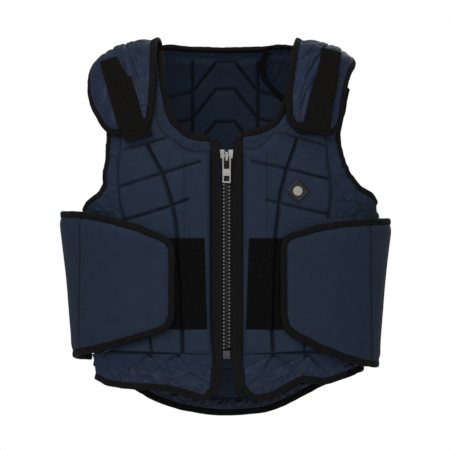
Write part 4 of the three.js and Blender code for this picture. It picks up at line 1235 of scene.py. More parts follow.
FRONT_RIGHT = np.array([
    [0.430, 0.037, 0.697, 0.058, 0.050], [0.424, 0.074, 0.727, 0.098, 0.050],
    [0.413, 0.122, 0.739, 0.146, 0.050], [0.382, 0.188, 0.733, 0.202, 0.060],
    [0.350, 0.223, 0.720, 0.252, 0.070], [0.312, 0.240, 0.726, 0.300, 0.070],
    [0.248, 0.263, 0.731, 0.326, 0.055], [0.170, 0.273, 0.738, 0.348, 0.035],
    [0.100, 0.277, 0.750, 0.370, 0.060], [0.100, 0.319, 0.745, 0.391, 0.020],
    [0.100, 0.369, 0.787, 0.423, 0.020], [0.100, 0.395, 0.867, 0.451, 0.020],
    [0.100, 0.408, 0.955, 0.533, 0.020], [0.100, 0.496, 0.960, 0.575, 0.020],
    [0.100, 0.589, 0.925, 0.632, 0.020], [0.100, 0.642, 0.900, 0.662, 0.020],
    [0.100, 0.715, 0.870, 0.728, 0.020], [0.096, 0.788, 0.842, 0.796, 0.020],
    [0.085, 0.838, 0.800, 0.838, 0.020],
])
FRONT_LEFT = np.array([
    [0.445, 0.037, 0.661, 0.053, 0.050], [0.438, 0.074, 0.685, 0.095, 0.050],
    [0.424, 0.122, 0.691, 0.143, 0.050], [0.388, 0.175, 0.682, 0.191, 0.060],
    [0.352, 0.207, 0.680, 0.239, 0.070], [0.315, 0.229, 0.688, 0.285, 0.070],
    [0.255, 0.245, 0.706, 0.313, 0.055], [0.182, 0.257, 0.720, 0.333, 0.035],
    [0.100, 0.265, 0.741, 0.355, 0.060], [0.100, 0.320, 0.770, 0.375, 0.020],
    [0.100, 0.369, 0.831, 0.407, 0.020], [0.100, 0.395, 0.922, 0.433, 0.020],
    [0.100, 0.412, 0.960, 0.490, 0.020], [0.100, 0.496, 0.960, 0.545, 0.020],
    [0.100, 0.589, 0.922, 0.618, 0.020], [0.100, 0.642, 0.900, 0.656, 0.020],
    [0.100, 0.715, 0.870, 0.728, 0.020], [0.100, 0.788, 0.842, 0.796, 0.020],
    [0.100, 0.838, 0.776, 0.838, 0.020],
])


@dataclass
class BackPanel:
    """The back: chevron rows of foam blocks between two upright channels, pressed from both faces."""

    downs: tuple[float, ...] = (0.067, 0.138, 0.223, 0.318, 0.414, 0.509, 0.605, 0.700)
    ends: tuple[float, ...] = (0.680, 0.650, 0.662, 0.752, 0.800, 0.830, 0.820, 0.800)
    neck_across: tuple[float, ...] = (0.0, 0.24, 0.36, 0.43)
    neck_down: tuple[float, ...] = (0.045, 0.042, 0.036, 0.030)
    top_end: float = 0.750
    foot_middle: float = 0.878
    foot_side: float = 0.836
    foot_end: float = 0.800
    flat: float = 0.057
    upright: float = 0.200
    drop: float = 0.077
    slope: float = 0.100
    seam_turn: float = 70.0
    rows_between: tuple[int, ...] = (28, 17, 19, 22, 21, 21, 21, 21, 28)
    columns: int = 221
    rim: float = 13.0 * MM
    outer: np.ndarray = field(init=False)
    inner: np.ndarray = field(init=False)

    def chevron(self, across: np.ndarray) -> np.ndarray:
        """How far a chevron's line hangs under its middle: flat, then steep, then a gentle slope."""
        steep = np.clip((across - self.flat) / (self.upright - self.flat), 0.0, 1.0)
        return self.drop * steep + self.slope * np.maximum(0.0, across - self.upright)

    def foot(self, across: np.ndarray) -> np.ndarray:
        """Down of the foam's foot, level in the middle and rising to the sides."""
        share = np.clip((across - self.upright) / (self.foot_end - self.upright), 0.0, 1.0)
        return self.foot_middle + (self.foot_side - self.foot_middle) * share

    def build(self) -> None:
        """Work out both faces from the rows' lines and make the panel with its bindings."""
        lines = np.array((-1.0, *self.downs, 2.0))
        ends = np.array((self.top_end, *self.ends, self.foot_end))
        stretches = [np.linspace(k, k + 1, count, endpoint=False) for k, count in enumerate(self.rows_between)]
        position = np.concatenate([*stretches, [len(lines) - 1.0]])
        end = along(ends[:, None], position)[:, 0]
        sign = np.linspace(-1.0, 1.0, self.columns)
        side = np.where(sign < 0.0, -1.0, 1.0)
        across = np.abs(sign)[None, :] * end[:, None]
        row = np.clip(np.floor(position).astype(int), 0, len(lines) - 2)
        share = (position - row)[:, None]
        turn_a, climb_a = self.line_place(side, across, lines[row][:, None])
        turn_b, climb_b = self.line_place(side, across, lines[row + 1][:, None])
        turn = turn_a * (1 - share) + turn_b * share
        climb = climb_a * (1 - share) + climb_b * share
        high, low, dark = self.relief(BODY.point(turn, climb, np.zeros_like(turn)), side, across, end)
        self.outer, self.inner = BODY.point(turn, climb, high), BODY.point(turn, climb, low)
        piece = shell("back_panel_foam", self.outer, self.inner, dark)
        dress(piece, Finish.FOAM_COVER, "foam_cover", "back_panel")
        self.bind(position)

    def relief(self, middle: np.ndarray, side: np.ndarray, across: np.ndarray,
               end: np.ndarray) -> tuple[np.ndarray, np.ndarray, np.ndarray]:
        """Lifts of the outer and the inner face, and their painted shade.

        Both faces have the channels, the outer one deeper; the rims are gathered, and the lining is bunched
        beside the tape inside the left shoulder.

        Args:
            middle: Points of the panel on the body.
            side: Sign of each column.
            across: Across of the points.
            end: Across of each row's end.

        Returns:
            Outer lift, inner lift and share of painted shade.
        """
        down = (BODY.top - middle[..., 2]) / BODY.height
        gaps = [np.abs(down - (line + self.chevron(across))) * BODY.height for line in self.downs]
        steep = np.where((across > self.flat) & (across < self.upright), 0.62, 0.98)
        distance = np.minimum(np.min(gaps, axis=0) * steep, np.abs(across - self.upright) * BODY.half_width)
        cross = np.abs(across - self.upright) * BODY.half_width
        from_side = (end[:, None] - across) * BODY.half_width
        from_top = arc_lengths(middle, 0)
        from_foot = from_top[-1:] - from_top
        inside = np.minimum(np.minimum(from_side - self.rim, (from_top - 10 * MM) * 1.2), from_foot + 3 * MM)
        swell = smooth(-0.5 * MM, 9.0 * MM, inside) ** 0.55
        pressed = np.maximum(channel_profile(distance, 1.9 * MM), channel_profile(cross, 2.0 * MM))
        shallow = 0.9 * MM * np.exp(-distance / (7.0 * MM))
        x = middle[..., 0]
        soft = 0.5 * MM * noise(x / (36 * MM), from_top / (48 * MM), 31)
        gather = 2.4 * MM * (creases(x / (9 * MM), from_top / (9 * MM), 33) - 0.3) * (1 - swell)
        gather = gather * np.sin(np.clip(np.minimum(from_top, from_side) / self.rim, 0, 1) * math.pi)
        rim_top = FOAM.rim_lift + FOAM.rim_wall
        high = rim_top + (FOAM.back - rim_top) * swell + (soft - FOAM.pressed * pressed - shallow) * swell
        edge = np.interp(down, (0.03, 0.07, 0.10, 0.125, 0.166), (0.25, 0.225, 0.24, 0.285, 0.37))
        beside = smooth(0.0, 0.03, across - edge) * (1 - smooth(0.15, 0.19, down)) * (side > 0.0)
        bunch = creases((x - 0.5 * middle[..., 2]) / (10 * MM), (middle[..., 2] + 0.5 * x) / (30 * MM), 35)
        low = FOAM.rim_lift * (1.0 - swell) + (2.6 * MM * pressed + shallow * 0.6 + 0.3 * MM + soft * 0.4) * (
            swell * (1 - beside)) + beside * (4.2 * MM * bunch + 0.4 * MM)
        # painted shade in the pressed channels
        return high + gather, low - gather, np.clip(pressed * 0.95 * swell, 0.0, 1.0)

    def line_place(self, side: np.ndarray, across: np.ndarray,
                   line: np.ndarray) -> tuple[np.ndarray, np.ndarray]:
        """Place on one of the back's lines: -1 is the neck edge, 2 the foot, else a chevron's down.

        Args:
            side: Sign of each column.
            across: Across of the points.
            line: Line of each row.

        Returns:
            The angle round the body and the climb.
        """
        seam = math.radians(self.seam_turn) * BODY.arc
        neck = np.interp(across, self.neck_across, self.neck_down)
        down = np.where(line < 0.0, neck, np.where(line > 1.0, self.foot(across), line + self.chevron(across)))
        turn, climb = BODY.seen(side, across, down, 2 * MM, behind=True)
        capped = np.where(across > 0.42, seam, np.minimum(climb, seam))
        return turn, np.where(line < 0.0, capped, climb)

    def bind(self, position: np.ndarray) -> None:
        """Bind the neck edge and both armhole edges.

        Args:
            position: Fractional line number of each row.
        """
        last = self.columns - 1
        sign = np.linspace(-1.0, 1.0, self.columns)
        neck = np.nonzero(np.abs(sign) * self.top_end < 0.425)[0]
        edge = Edge.of(self.outer, self.inner, (0, neck), (3, neck))
        Binding("neck_binding_back", edge).build()
        rows = np.nonzero((position > 0.6) & (position < 4.6))[0]
        for side, column, inside in ((Side.RIGHT, 0, 3), (Side.LEFT, last, last - 3)):
            edge = Edge.of(self.outer, self.inner, (rows, column), (rows, inside))
            Binding(f"back_armhole_binding_{side.word}", edge, seed=13).build()


@dataclass
class InsideTape:
    """Black tape sewn inside the back by the left shoulder; the cloth beside it is gathered.

    The path is given as (across, down) corners seen from the front.
    """

    path: tuple[tuple[float, float], ...] = ((0.262, 0.028), (0.236, 0.050), (0.226, 0.072), (0.240, 0.098),
                                             (0.282, 0.124), (0.330, 0.146), (0.372, 0.166))
    width: float = 8.5 * MM
    thick: float = 1.6 * MM
    lift: float = -1.6 * MM

    def build(self) -> None:
        """Carry a flat rounded bar along the path, over the inner face of the back."""
        corners = along(np.array(self.path), np.linspace(0.0, len(self.path) - 1.0, 120))
        turn, climb = BODY.seen(1.0, corners[:, 0], corners[:, 1], 2 * MM, behind=True)
        path = BODY.point(turn, climb, np.full(120, self.lift))
        up = unit(path - BODY.point(turn, climb, np.full(120, self.lift + 4 * MM)))
        aside = unit(np.cross(unit(np.gradient(path, axis=0)), up))
        angle = np.linspace(0.0, 2 * math.pi, 20, endpoint=False)
        profile = np.stack([np.cos(angle) * self.width / 2, np.sin(angle) * self.thick / 2], axis=1)
        dress(sweep("inside_tape_left", path, aside, up, profile), Finish.BINDING, "edge_binding")


@dataclass
class Yoke:
    """Padded yoke over one shoulder, with its binding and the hook tape sewn on it.

    The table has the turn in degrees over the shoulder and the across of the inner and the outer edge.
    """

    side: Side
    table: np.ndarray
    tape: np.ndarray
    on_tab: float = 13.2 * MM
    on_seam: float = 1.5 * MM
    tab_turn: float = 62.0
    seam_turn: float = 110.0
    view_lift: float = 15.0 * MM
    rows: int = 130
    columns: int = 90

    def build(self) -> None:
        """Make the padded yoke, its binding and its tape."""
        position = np.linspace(0.0, len(self.table) - 1.0, self.rows)
        cells = along(self.table, position)
        spread = np.linspace(0.0, 1.0, self.columns)
        across = cells[:, 1:2] * (1 - spread) + cells[:, 2:3] * spread
        degrees = np.broadcast_to(cells[:, :1], across.shape)
        turn, climb = BODY.over_shoulder(self.side.value, across, degrees, self.view_lift)
        seat = self.on_tab + (self.on_seam - self.on_tab) * smooth(self.tab_turn, self.seam_turn, degrees)
        width = (cells[:, 2] - cells[:, 1])[:, None] * BODY.half_width
        from_in, from_out = spread * width, (1 - spread) * width
        length = arc_lengths(BODY.point(turn, climb, seat), 0)
        from_foot = length[-1:] - length
        edge = np.minimum(np.minimum(from_in, from_out), from_foot + 1 * MM)
        swell = smooth(-1 * MM, 13 * MM, edge) ** 0.7
        high = seat + FOAM.rim_wall + (FOAM.yoke - FOAM.rim_wall) * swell
        high = high + self.folds(from_in, from_out, length, swell)
        outer, inner = BODY.point(turn, climb, high), BODY.point(turn, climb, seat)
        name = f"shoulder_yoke_{self.side.word}"
        piece = dress(shell(f"{name}_pad", outer, inner), Finish.SATIN, "satin_cloth", name)
        last_row, last = self.rows - 1, self.columns - 1
        inside = np.arange(self.rows)
        foot = np.arange(1, last)
        rim = Edge.of(outer, inner, (inside, 0), (inside, 2))
        rim = rim.join(Edge.of(outer, inner, (last_row, foot), (last_row - 2, foot)))
        rim = rim.join(Edge.of(outer, inner, (inside, last), (inside, last - 2)).back())
        Binding(f"yoke_binding_{self.side.word}", rim, ease=8, seed=17).build()
        self.build_tape()

    def folds(self, from_in: np.ndarray, from_out: np.ndarray, length: np.ndarray,
              swell: np.ndarray) -> np.ndarray:
        """Creases of the satin: short puckers off both bindings and long soft folds down the strap.

        Args:
            from_in: Distance from the inner edge.
            from_out: Distance from the outer edge.
            length: Length along the yoke.
            swell: Share of the padding's fullness.

        Returns:
            Depth of the creases, all under the smooth face.
        """
        pucker = creases(from_in / (30 * MM), length / (4.6 * MM), 41)
        pucker = pucker * np.exp(-from_in / (9 * MM)) * smooth(0.0, 2 * MM, from_in)
        outer = creases(from_out / (22 * MM), length / (9 * MM), 43)
        outer = outer * np.exp(-from_out / (8 * MM)) * smooth(0.0, 2 * MM, from_out)
        drift = 0.25 * length
        long_folds = creases((from_in + drift) / (13 * MM), length / (52 * MM), 45)
        return -3.4 * MM * pucker - 2.4 * MM * outer - 4.6 * MM * long_folds * swell

    def build_tape(self) -> None:
        """Lay the tape on the yoke: straight edges in the front view, with a wider sewn block at the foot."""
        shares = np.linspace(0.0, 1.0, 30)
        position = np.linspace(0.0, len(self.tape) - 1.0, 120)
        row = np.clip(np.floor(position).astype(int), 0, len(self.tape) - 2)
        cells = self.tape[row] + (self.tape[row + 1] - self.tape[row]) * (position - row)[:, None]
        across = cells[:, 0:1] * (1 - shares) + cells[:, 2:3] * shares
        down = cells[:, 1:2] * (1 - shares) + cells[:, 3:4] * shares
        seat = self.on_tab + FOAM.yoke + FOAM.rest
        place = BODY.seen(self.side.value, across, down, seat)
        nap = 0.25 * MM * noise(across * BODY.half_width / (3 * MM), down * BODY.height / (3 * MM), 51)
        sag = -1.6 * MM * smooth(0.75, 1.0, position / position[-1])[:, None]
        edge = np.minimum(shares, 1 - shares) * 30 * MM
        thick = FOAM.tape * (0.55 + 0.45 * smooth(0.0, 1.5 * MM, edge))
        name = f"shoulder_tape_{self.side.word}"
        piece = laid(name, place, seat + sag + thick + nap, seat + sag + 0.0 * across)
        dress(piece, Finish.HOOK, "hook_tape", name)


YOKE_RIGHT = np.array([
    [109.6, 0.446, 0.760], [95, 0.440, 0.780], [80, 0.447, 0.796], [66, 0.453, 0.808], [52, 0.455, 0.814],
    [40, 0.457, 0.807], [30, 0.464, 0.788], [21, 0.472, 0.752], [14, 0.489, 0.712], [11, 0.521, 0.667],
])
YOKE_LEFT = np.array([
    [109.6, 0.475, 0.752], [95, 0.468, 0.764], [80, 0.463, 0.766], [66, 0.440, 0.755], [52, 0.421, 0.721],
    [40, 0.406, 0.700], [30, 0.394, 0.680], [21, 0.391, 0.669], [14, 0.412, 0.655], [11, 0.448, 0.630],
])
TAPE_RIGHT = np.array([
    [0.764, 0.064, 0.661, 0.050], [0.729, 0.119, 0.600, 0.103], [0.728, 0.121, 0.576, 0.102],
    [0.697, 0.170, 0.545, 0.151], [0.655, 0.236, 0.503, 0.219], [0.650, 0.244, 0.478, 0.227],
    [0.609, 0.277, 0.448, 0.259],
])
TAPE_LEFT = np.array([
    [0.697, 0.040, 0.576, 0.027], [0.672, 0.115, 0.552, 0.098], [0.671, 0.117, 0.542, 0.099],
    [0.648, 0.170, 0.509, 0.150], [0.625, 0.240, 0.467, 0.222], [0.640, 0.246, 0.430, 0.226],
    [0.618, 0.263, 0.424, 0.240],
])


@dataclass
class Wing:
    """Padded side wing from the back round to the front, bound on three edges, with one upright seam.

    The table has the across of each upright section and the down of its top and its foot.
    """

    side: Side
    table: np.ndarray
    seam_across: float
    turn_across: float = 0.7
    seat_extra: float = 0.9 * MM
    rows: int = 140
    columns: int = 84

    def build(self) -> None:
        """Make the padded wing and its binding."""
        seat_front = FOAM.front + 2 * FOAM.rest + FOAM.tape
        position = np.linspace(0.0, len(self.table) - 1.0, self.rows)
        drop = np.linspace(0.0, 1.0, self.columns)
        cells = along(self.table, position)
        places = [self.place(cell, drop, seat_front) for cell in (np.floor(position), np.floor(position) + 1)]
        share = (position - np.clip(np.floor(position), 0, len(self.table) - 2))[:, None]
        turn = places[0][0] * (1 - share) + places[1][0] * share
        climb = places[0][1] * (1 - share) + places[1][1] * share
        across = np.broadcast_to(cells[:, :1], turn.shape)
        seat = seat_front + (FOAM.back + self.seat_extra - seat_front) * smooth(self.turn_across, 1.0, across)
        body = BODY.point(turn, climb, seat)
        from_front, from_top = arc_lengths(body, 0), arc_lengths(body, 1)
        from_foot = from_top[:, -1:] - from_top
        edge = np.minimum(np.minimum(from_front, from_top), from_foot)
        swell = smooth(-1 * MM, 10 * MM, edge) ** 0.6
        x, z = from_front, from_top
        seam = channel_profile((across - self.seam_across) * BODY.half_width, 0.9 * MM)
        soft = (0.4 * MM * noise(x / (40 * MM), z / (52 * MM), 61)
                + 0.2 * MM * creases(x / (38 * MM), z / (30 * MM), 63))
        high = seat + FOAM.rim_wall + (FOAM.wing - FOAM.rim_wall) * swell + soft * swell - 0.9 * MM * seam
        outer, inner = BODY.point(turn, climb, high), BODY.point(turn, climb, seat)
        name = f"side_wing_{self.side.word}"
        # painted shade in the dip of the upright seam
        piece = dress(shell(f"{name}_pad", outer, inner, 0.8 * seam), Finish.FOAM_COVER, "foam_cover", name)
        rows, columns = np.arange(self.rows), np.arange(1, self.columns - 1)
        last = self.columns - 1
        rim = Edge.of(outer, inner, (rows, 0), (rows, 2)).back()
        rim = rim.join(Edge.of(outer, inner, (0, columns), (2, columns)))
        rim = rim.join(Edge.of(outer, inner, (rows, last), (rows, last - 2)))
        Binding(f"wing_binding_{self.side.word}", rim, ease=6, seed=19).build()

    def place(self, station: np.ndarray, drop: np.ndarray, seat: float) -> tuple[np.ndarray, np.ndarray]:
        """Place of a whole section at table rows, at shares of the way from top to foot.

        Args:
            station: Table row of each section.
            drop: Shares from top to foot.
            seat: Lift of the inner face.

        Returns:
            The angle round the body and the climb.
        """
        cells = self.table[np.clip(station.astype(int), 0, len(self.table) - 1)]
        down = cells[:, 1:2] * (1 - drop) + cells[:, 2:3] * drop
        return BODY.seen(self.side.value, np.broadcast_to(cells[:, :1], down.shape), down, seat + FOAM.wing)


WING_RIGHT = np.array([
    [0.355, 0.562, 0.737], [0.376, 0.545, 0.756], [0.418, 0.536, 0.767], [0.545, 0.513, 0.785],
    [0.703, 0.493, 0.805], [0.830, 0.482, 0.819], [0.920, 0.477, 0.826], [1.085, 0.476, 0.836],
    [1.160, 0.479, 0.838],
])
WING_LEFT = np.array([
    [0.370, 0.552, 0.737], [0.388, 0.537, 0.764], [0.442, 0.528, 0.782], [0.582, 0.511, 0.813],
    [0.720, 0.502, 0.838], [0.830, 0.498, 0.853], [0.920, 0.496, 0.858], [1.085, 0.495, 0.853],
    [1.160, 0.495, 0.848],
])


@dataclass
class LoopField:
    """Brushed loop cloth sewn on a front; the curved channel presses a line into it."""

    side: Side
    front: FrontPanel
    top: float = 0.531
    foot: float = 0.772
    inner_top: float = 0.135
    inner_foot: float = 0.117
    outer: float = 0.372

    def build(self) -> None:
        """Make the loop field over the front's outer face."""
        drop, share = np.linspace(0.0, 1.0, 110)[:, None], np.linspace(0.0, 1.0, 60)[None, :]
        start = self.inner_top + (self.inner_foot - self.inner_top) * drop
        across = start + (self.outer - start) * share
        down = np.broadcast_to(self.top + (self.foot - self.top) * drop, across.shape)
        seat = FOAM.front + FOAM.rest
        place = BODY.seen(self.side.value, across, down, seat)
        x, z = across * BODY.half_width, down * BODY.height
        line = channel_profile(line_distance(x, z, FrontLines.scaled(self.front.lines.curve)), 1.5 * MM)
        edge = np.minimum(np.minimum(share, 1 - share) * 50 * MM, np.minimum(drop, 1 - drop) * 118 * MM)
        thick = FOAM.tape * (0.4 + 0.6 * smooth(0.0, 2 * MM, edge)) * (1 - 0.75 * line)
        nap = 0.3 * MM * noise(x / (2.6 * MM), z / (2.6 * MM), 71) * (1 - line)
        name = f"loop_patch_{self.side.word}"
        # painted shade in the line that the curved channel presses into the loop cloth
        dress(laid(name, place, seat + thick + nap, seat + 0.0 * x, line), Finish.LOOP, "loop_pile", name)


@dataclass
class Skirt:
    """Loose gathered cloth under a foam panel, with a bound hem.

    The table has the across of the top and of the hem and the down of the hem; for the back the across is
    signed and the same at both.
    """

    name: str
    binding: str
    side: int
    table: np.ndarray
    top: float | None
    behind: bool = False
    lift: float = 8.0 * MM
    rows: int = 42
    columns: int = 240
    seed: int = 81
    darts: tuple[float, ...] = ()
    dart_folds: tuple[tuple[float, float, float], ...] = (
        (0.0, 3.8, 12.0), (-0.55, 3.0, 34.0), (1.25, 3.4, 30.0), (-1.9, 1.6, 24.0))

    def build(self) -> None:
        """Make the gathered cloth and its hem binding."""
        position = np.linspace(0.0, len(self.table) - 1.0, self.columns)
        cells = along(self.table, position)
        drop = np.linspace(0.0, 1.0, self.rows)[:, None]
        across = cells[:, 0] * (1 - drop) + cells[:, 1] * drop
        side = np.where(across < 0.0, -1.0, 1.0) if self.behind else float(self.side)
        top = BACK.foot(np.abs(across)) + 0.05 * MM / BODY.height if self.top is None else self.top
        down = top * (1 - drop) + cells[:, 2] * drop
        turn, climb = BODY.seen(side, np.abs(across), down, 2 * MM if self.behind else self.lift, self.behind)
        body = BODY.point(turn, climb, np.full(turn.shape, self.lift))
        run, fall = arc_lengths(body, 1), arc_lengths(body, 0)
        lift = self.lift + self.gathers(run, fall, drop, across)
        outer, inner = BODY.point(turn, climb, lift + FOAM.cloth), BODY.point(turn, climb, lift)
        piece = dress(shell(f"{self.name}_cloth", outer, inner), Finish.SATIN, "satin_cloth", self.name)
        last = self.rows - 1
        columns = np.arange(self.columns)
        edge = Edge.of(outer, inner, (last, columns), (last - 2, columns))
        binding = Binding(self.binding, edge, ease=4, seed=self.seed + 2).build()
        if self.behind:
            self.line_hem(run, inner)

    def line_hem(self, run: np.ndarray, inner: np.ndarray) -> None:
        """Narrow bunched band of thin lining along the inside of the hem, just over the binding.

        Args:
            run: Length along the skirt.
            inner: Points of its inner face.
        """
        first = self.rows - 12
        strip, along_hem = inner[first:, 3:-3], run[first:, 3:-3]
        share = np.linspace(0.0, 1.0, len(strip))[:, None]
        inward = unit(np.stack([strip[..., 0], strip[..., 1], np.zeros_like(share * along_hem)], axis=-1))
        bunch = creases(along_hem / (5.5 * MM), share * 1.3 + 0.0 * along_hem, self.seed + 12)
        thick = (0.5 + 3.4 * bunch * np.sin(share * math.pi * 0.9 + 0.25)) * MM
        near = strip - inward * 0.3 * MM
        piece = shell("hem_lining_back", near, near - inward * thick[..., None])
        dress(piece, Finish.LINING, "satin_cloth")

    def gathers(self, run: np.ndarray, fall: np.ndarray, drop: np.ndarray, across: np.ndarray) -> np.ndarray:
        """Folds that spread from the darts under the channels, soft waves and bunching at the hem.

        Each dart has folds given as lean, depth and length in mm; a fold is a valley along a straight line.

        Args:
            run: Length along the skirt.
            fall: Length down from the seam.
            drop: Share of the way to the hem.
            across: Across of the points.

        Returns:
            Lift added to the cloth.
        """
        hang = creases((run + 0.45 * fall) / (26 * MM), fall / (50 * MM), self.seed) - 0.35
        bunch = creases((run - 0.2 * fall) / (6.5 * MM), fall / (16 * MM), self.seed + 4) - 0.35
        cross = creases((run - 0.8 * fall) / (30 * MM), (fall + 0.5 * run) / (15 * MM), self.seed + 8) - 0.35
        calm = smooth(0.14, 0.40, np.abs(across)) * 0.8 + 0.2 if self.behind else 1.0
        body = np.sin(np.clip(drop, 0.0, 1.0) * math.pi * 0.93 + 0.1) * calm
        lift = (3.0 * MM * hang + 2.2 * MM * cross) * body + 3.0 * MM * bunch * drop**4
        for dart in self.darts:
            aside = (across - dart) * BODY.half_width
            for lean, depth, long in self.dart_folds:
                valley = np.exp(-((aside - lean * fall) / (1.7 * MM + 0.15 * fall)) ** 2)
                lift = lift - depth * MM * valley * np.exp(-fall / (long * MM)) * smooth(0.0, 1.5 * MM, fall)
        if not self.behind:
            lift = lift + 2.6 * MM * np.exp(-fall / (11 * MM))
        return lift


SKIRT_RIGHT = np.array([
    [0.083, 0.104, 0.930], [0.120, 0.140, 0.946], [0.236, 0.236, 0.933], [0.394, 0.394, 0.919],
    [0.552, 0.552, 0.915], [0.700, 0.700, 0.907], [0.792, 0.776, 0.889],
])
SKIRT_LEFT = np.array([
    [0.099, 0.116, 0.922], [0.140, 0.170, 0.946], [0.248, 0.248, 0.941], [0.358, 0.358, 0.917],
    [0.467, 0.467, 0.896], [0.582, 0.582, 0.902], [0.776, 0.715, 0.886],
])
SKIRT_BACK = np.array([
    [-0.765, -0.765, 0.855], [-0.580, -0.580, 0.904], [-0.370, -0.370, 0.956], [-0.200, -0.200, 0.978],
    [0.000, 0.000, 0.988], [0.200, 0.200, 0.982], [0.330, 0.330, 0.963], [0.570, 0.570, 0.908],
    [0.730, 0.730, 0.882], [0.800, 0.800, 0.866],
])


@dataclass
class Zip:
    """Front zip: two woven tapes, moulded teeth, bottom box, slider and pull."""

    lift: float = 8.6 * MM
    tape_right: np.ndarray = field(default_factory=lambda: np.array([
        [0.271, 0.048, 0.094], [0.300, 0.026, 0.094], [0.410, 0.024, 0.094], [0.589, 0.024, 0.094],
        [0.720, 0.024, 0.094], [0.788, 0.024, 0.088], [0.846, 0.024, 0.077], [0.900, 0.034, 0.088],
        [0.952, 0.050, 0.103]]))
    tape_left: np.ndarray = field(default_factory=lambda: np.array([
        [0.262, 0.060, 0.094], [0.296, 0.026, 0.094], [0.410, 0.024, 0.094], [0.589, 0.024, 0.094],
        [0.720, 0.024, 0.094], [0.846, 0.026, 0.094], [0.900, 0.038, 0.106], [0.952, 0.064, 0.147]]))
    chain_top: float = 0.330
    chain_foot: float = 0.828
    chain_half: float = 4.7 * MM
    chain_wall: float = 4.4 * MM
    pitch: float = 4.7 * MM

    def build(self) -> None:
        """Make all pieces of the zip."""
        for side, table in ((Side.RIGHT, self.tape_right), (Side.LEFT, self.tape_left)):
            self.build_tape(side, table)
        self.build_teeth()
        self.build_cord()
        for node, finish, body, bevel in (("zip_box", Finish.BOX, "vest", 0.6 * MM),
                                          ("zip_slider", Finish.SLIDER, "vest", 0.35 * MM),
                                          ("zip_pull", Finish.NICKEL, "pull", 0.35 * MM)):
            slot = "chain_plastic" if node == "zip_box" else "nickel"
            dress(rounded_copy(node, bevel), finish, slot, node, body=body)

    def build_tape(self, side: Side, table: np.ndarray) -> None:
        """One tape, with a fold line beside the teeth and a raised cord at its chain edge.

        Args:
            side: Wearer's side.
            table: Down, and across of the chain edge and of the outer edge.
        """
        position = np.linspace(0.0, len(table) - 1.0, 240)
        cells = along(table, position)
        share = np.linspace(0.0, 1.0, 26)
        across = cells[:, 1:2] * (1 - share) + cells[:, 2:3] * share
        down = np.broadcast_to(cells[:, :1], across.shape)
        place = BODY.seen(side.value, across, down, self.lift)
        width = (cells[:, 2:3] - cells[:, 1:2]) * BODY.half_width
        from_chain = share * width
        cord = 0.7 * MM * np.exp(-((from_chain - 1.0 * MM) / (0.9 * MM)) ** 2)
        fold = 0.5 * MM * np.exp(-((from_chain - 9.0 * MM) / (1.1 * MM)) ** 2)
        ripple = 0.25 * MM * noise(from_chain / (14 * MM), down * BODY.height / (26 * MM), 91)
        high, low = self.lift + FOAM.tape / 2 + cord - fold + ripple, self.lift - FOAM.tape / 2 + ripple
        # painted shade in the fold line beside the teeth
        dark = 0.5 * np.exp(-((from_chain - 9.0 * MM) / (1.0 * MM)) ** 2) * np.ones_like(across)
        name = f"zip_tape_{side.word}"
        dress(laid(name, place, high, low, dark), Finish.ZIP_TAPE, "hook_tape", name)

    def build_cord(self) -> None:
        """Woven edges of the two tapes, which meet behind the teeth."""
        share = np.linspace(-1.0, 1.0, 13)
        down = np.linspace(self.chain_top, self.chain_foot + 0.008, 160)[:, None]
        across = np.abs(share) * (self.chain_half + 0.9 * MM) / BODY.half_width + 0.0 * down
        place = BODY.seen(np.where(share < 0.0, -1.0, 1.0), across, down + 0.0 * share, self.lift)
        bead = 0.5 * MM * np.abs(np.sin(share * math.pi)) + 0.0 * down
        piece = laid("zip_cord", place, self.lift - 0.9 * MM + bead, self.lift - 1.6 * MM + 0.0 * bead)
        dress(piece, Finish.ZIP_TAPE, "hook_tape")

    def build_teeth(self) -> None:
        """Moulded teeth in two rows that mesh at the middle, every second one from the other tape."""
        length = (self.chain_foot - self.chain_top) * BODY.height
        count = int(length / self.pitch * 2)
        order = np.arange(count)
        down = self.chain_top + (order + 0.5) * self.pitch / 2 / BODY.height
        turn, climb = BODY.seen(1.0, np.zeros(count), down, self.lift)
        middle = BODY.point(turn, climb, np.full(count, self.lift))
        side = np.where(order % 2 == 0, -1.0, 1.0)
        tall = self.pitch / 2 * 0.86
        outline = np.array([[-1.15, -0.15], [0.28, -0.13], [0.48, -0.30], [0.98, -0.27],
                            [0.98, 0.27], [0.48, 0.30], [0.28, 0.13], [-1.15, 0.15]])
        layers = np.array([[-0.50, 0.80], [-0.42, 1.0], [0.42, 1.0], [0.50, 0.80]])
        ring = outline[None, :, :] * layers[:, 1][:, None, None]
        local = np.concatenate([ring, np.broadcast_to(layers[:, :1][:, None], (4, 8, 1))], axis=2).reshape(-1, 3)
        x = side[:, None] * (1.3 * MM + local[None, :, 0] * (self.chain_half - 1.3 * MM))
        points = np.stack([x, middle[:, 1:2] + local[None, :, 2] * self.chain_wall,
                           middle[:, 2:3] + local[None, :, 1] * tall * 2], axis=-1)
        quads = np.array([[k * 8 + c, k * 8 + (c + 1) % 8, (k + 1) * 8 + (c + 1) % 8, (k + 1) * 8 + c]
                          for k in range(3) for c in range(8)]
                         + [[a, b, c, d] for base in (0, 24) for a, b, c, d in
                            ((base, base + 1, base + 6, base + 7), (base + 1, base + 2, base + 5, base + 6),
                             (base + 2, base + 3, base + 4, base + 5))])
        faces = (quads[None] + order[:, None, None] * len(local)).reshape(-1, 4)
        piece = add_mesh("zip_teeth", points.reshape(-1, 3), faces.tolist())
        shape = bmesh.new()
        shape.from_mesh(piece.data)
        bmesh.ops.recalc_face_normals(shape, faces=shape.faces)
        shape.to_mesh(piece.data)
        shape.free()
        piece.data.shade_flat()
        dress(piece, Finish.TOOTH, "chain_plastic", "zip_chain")


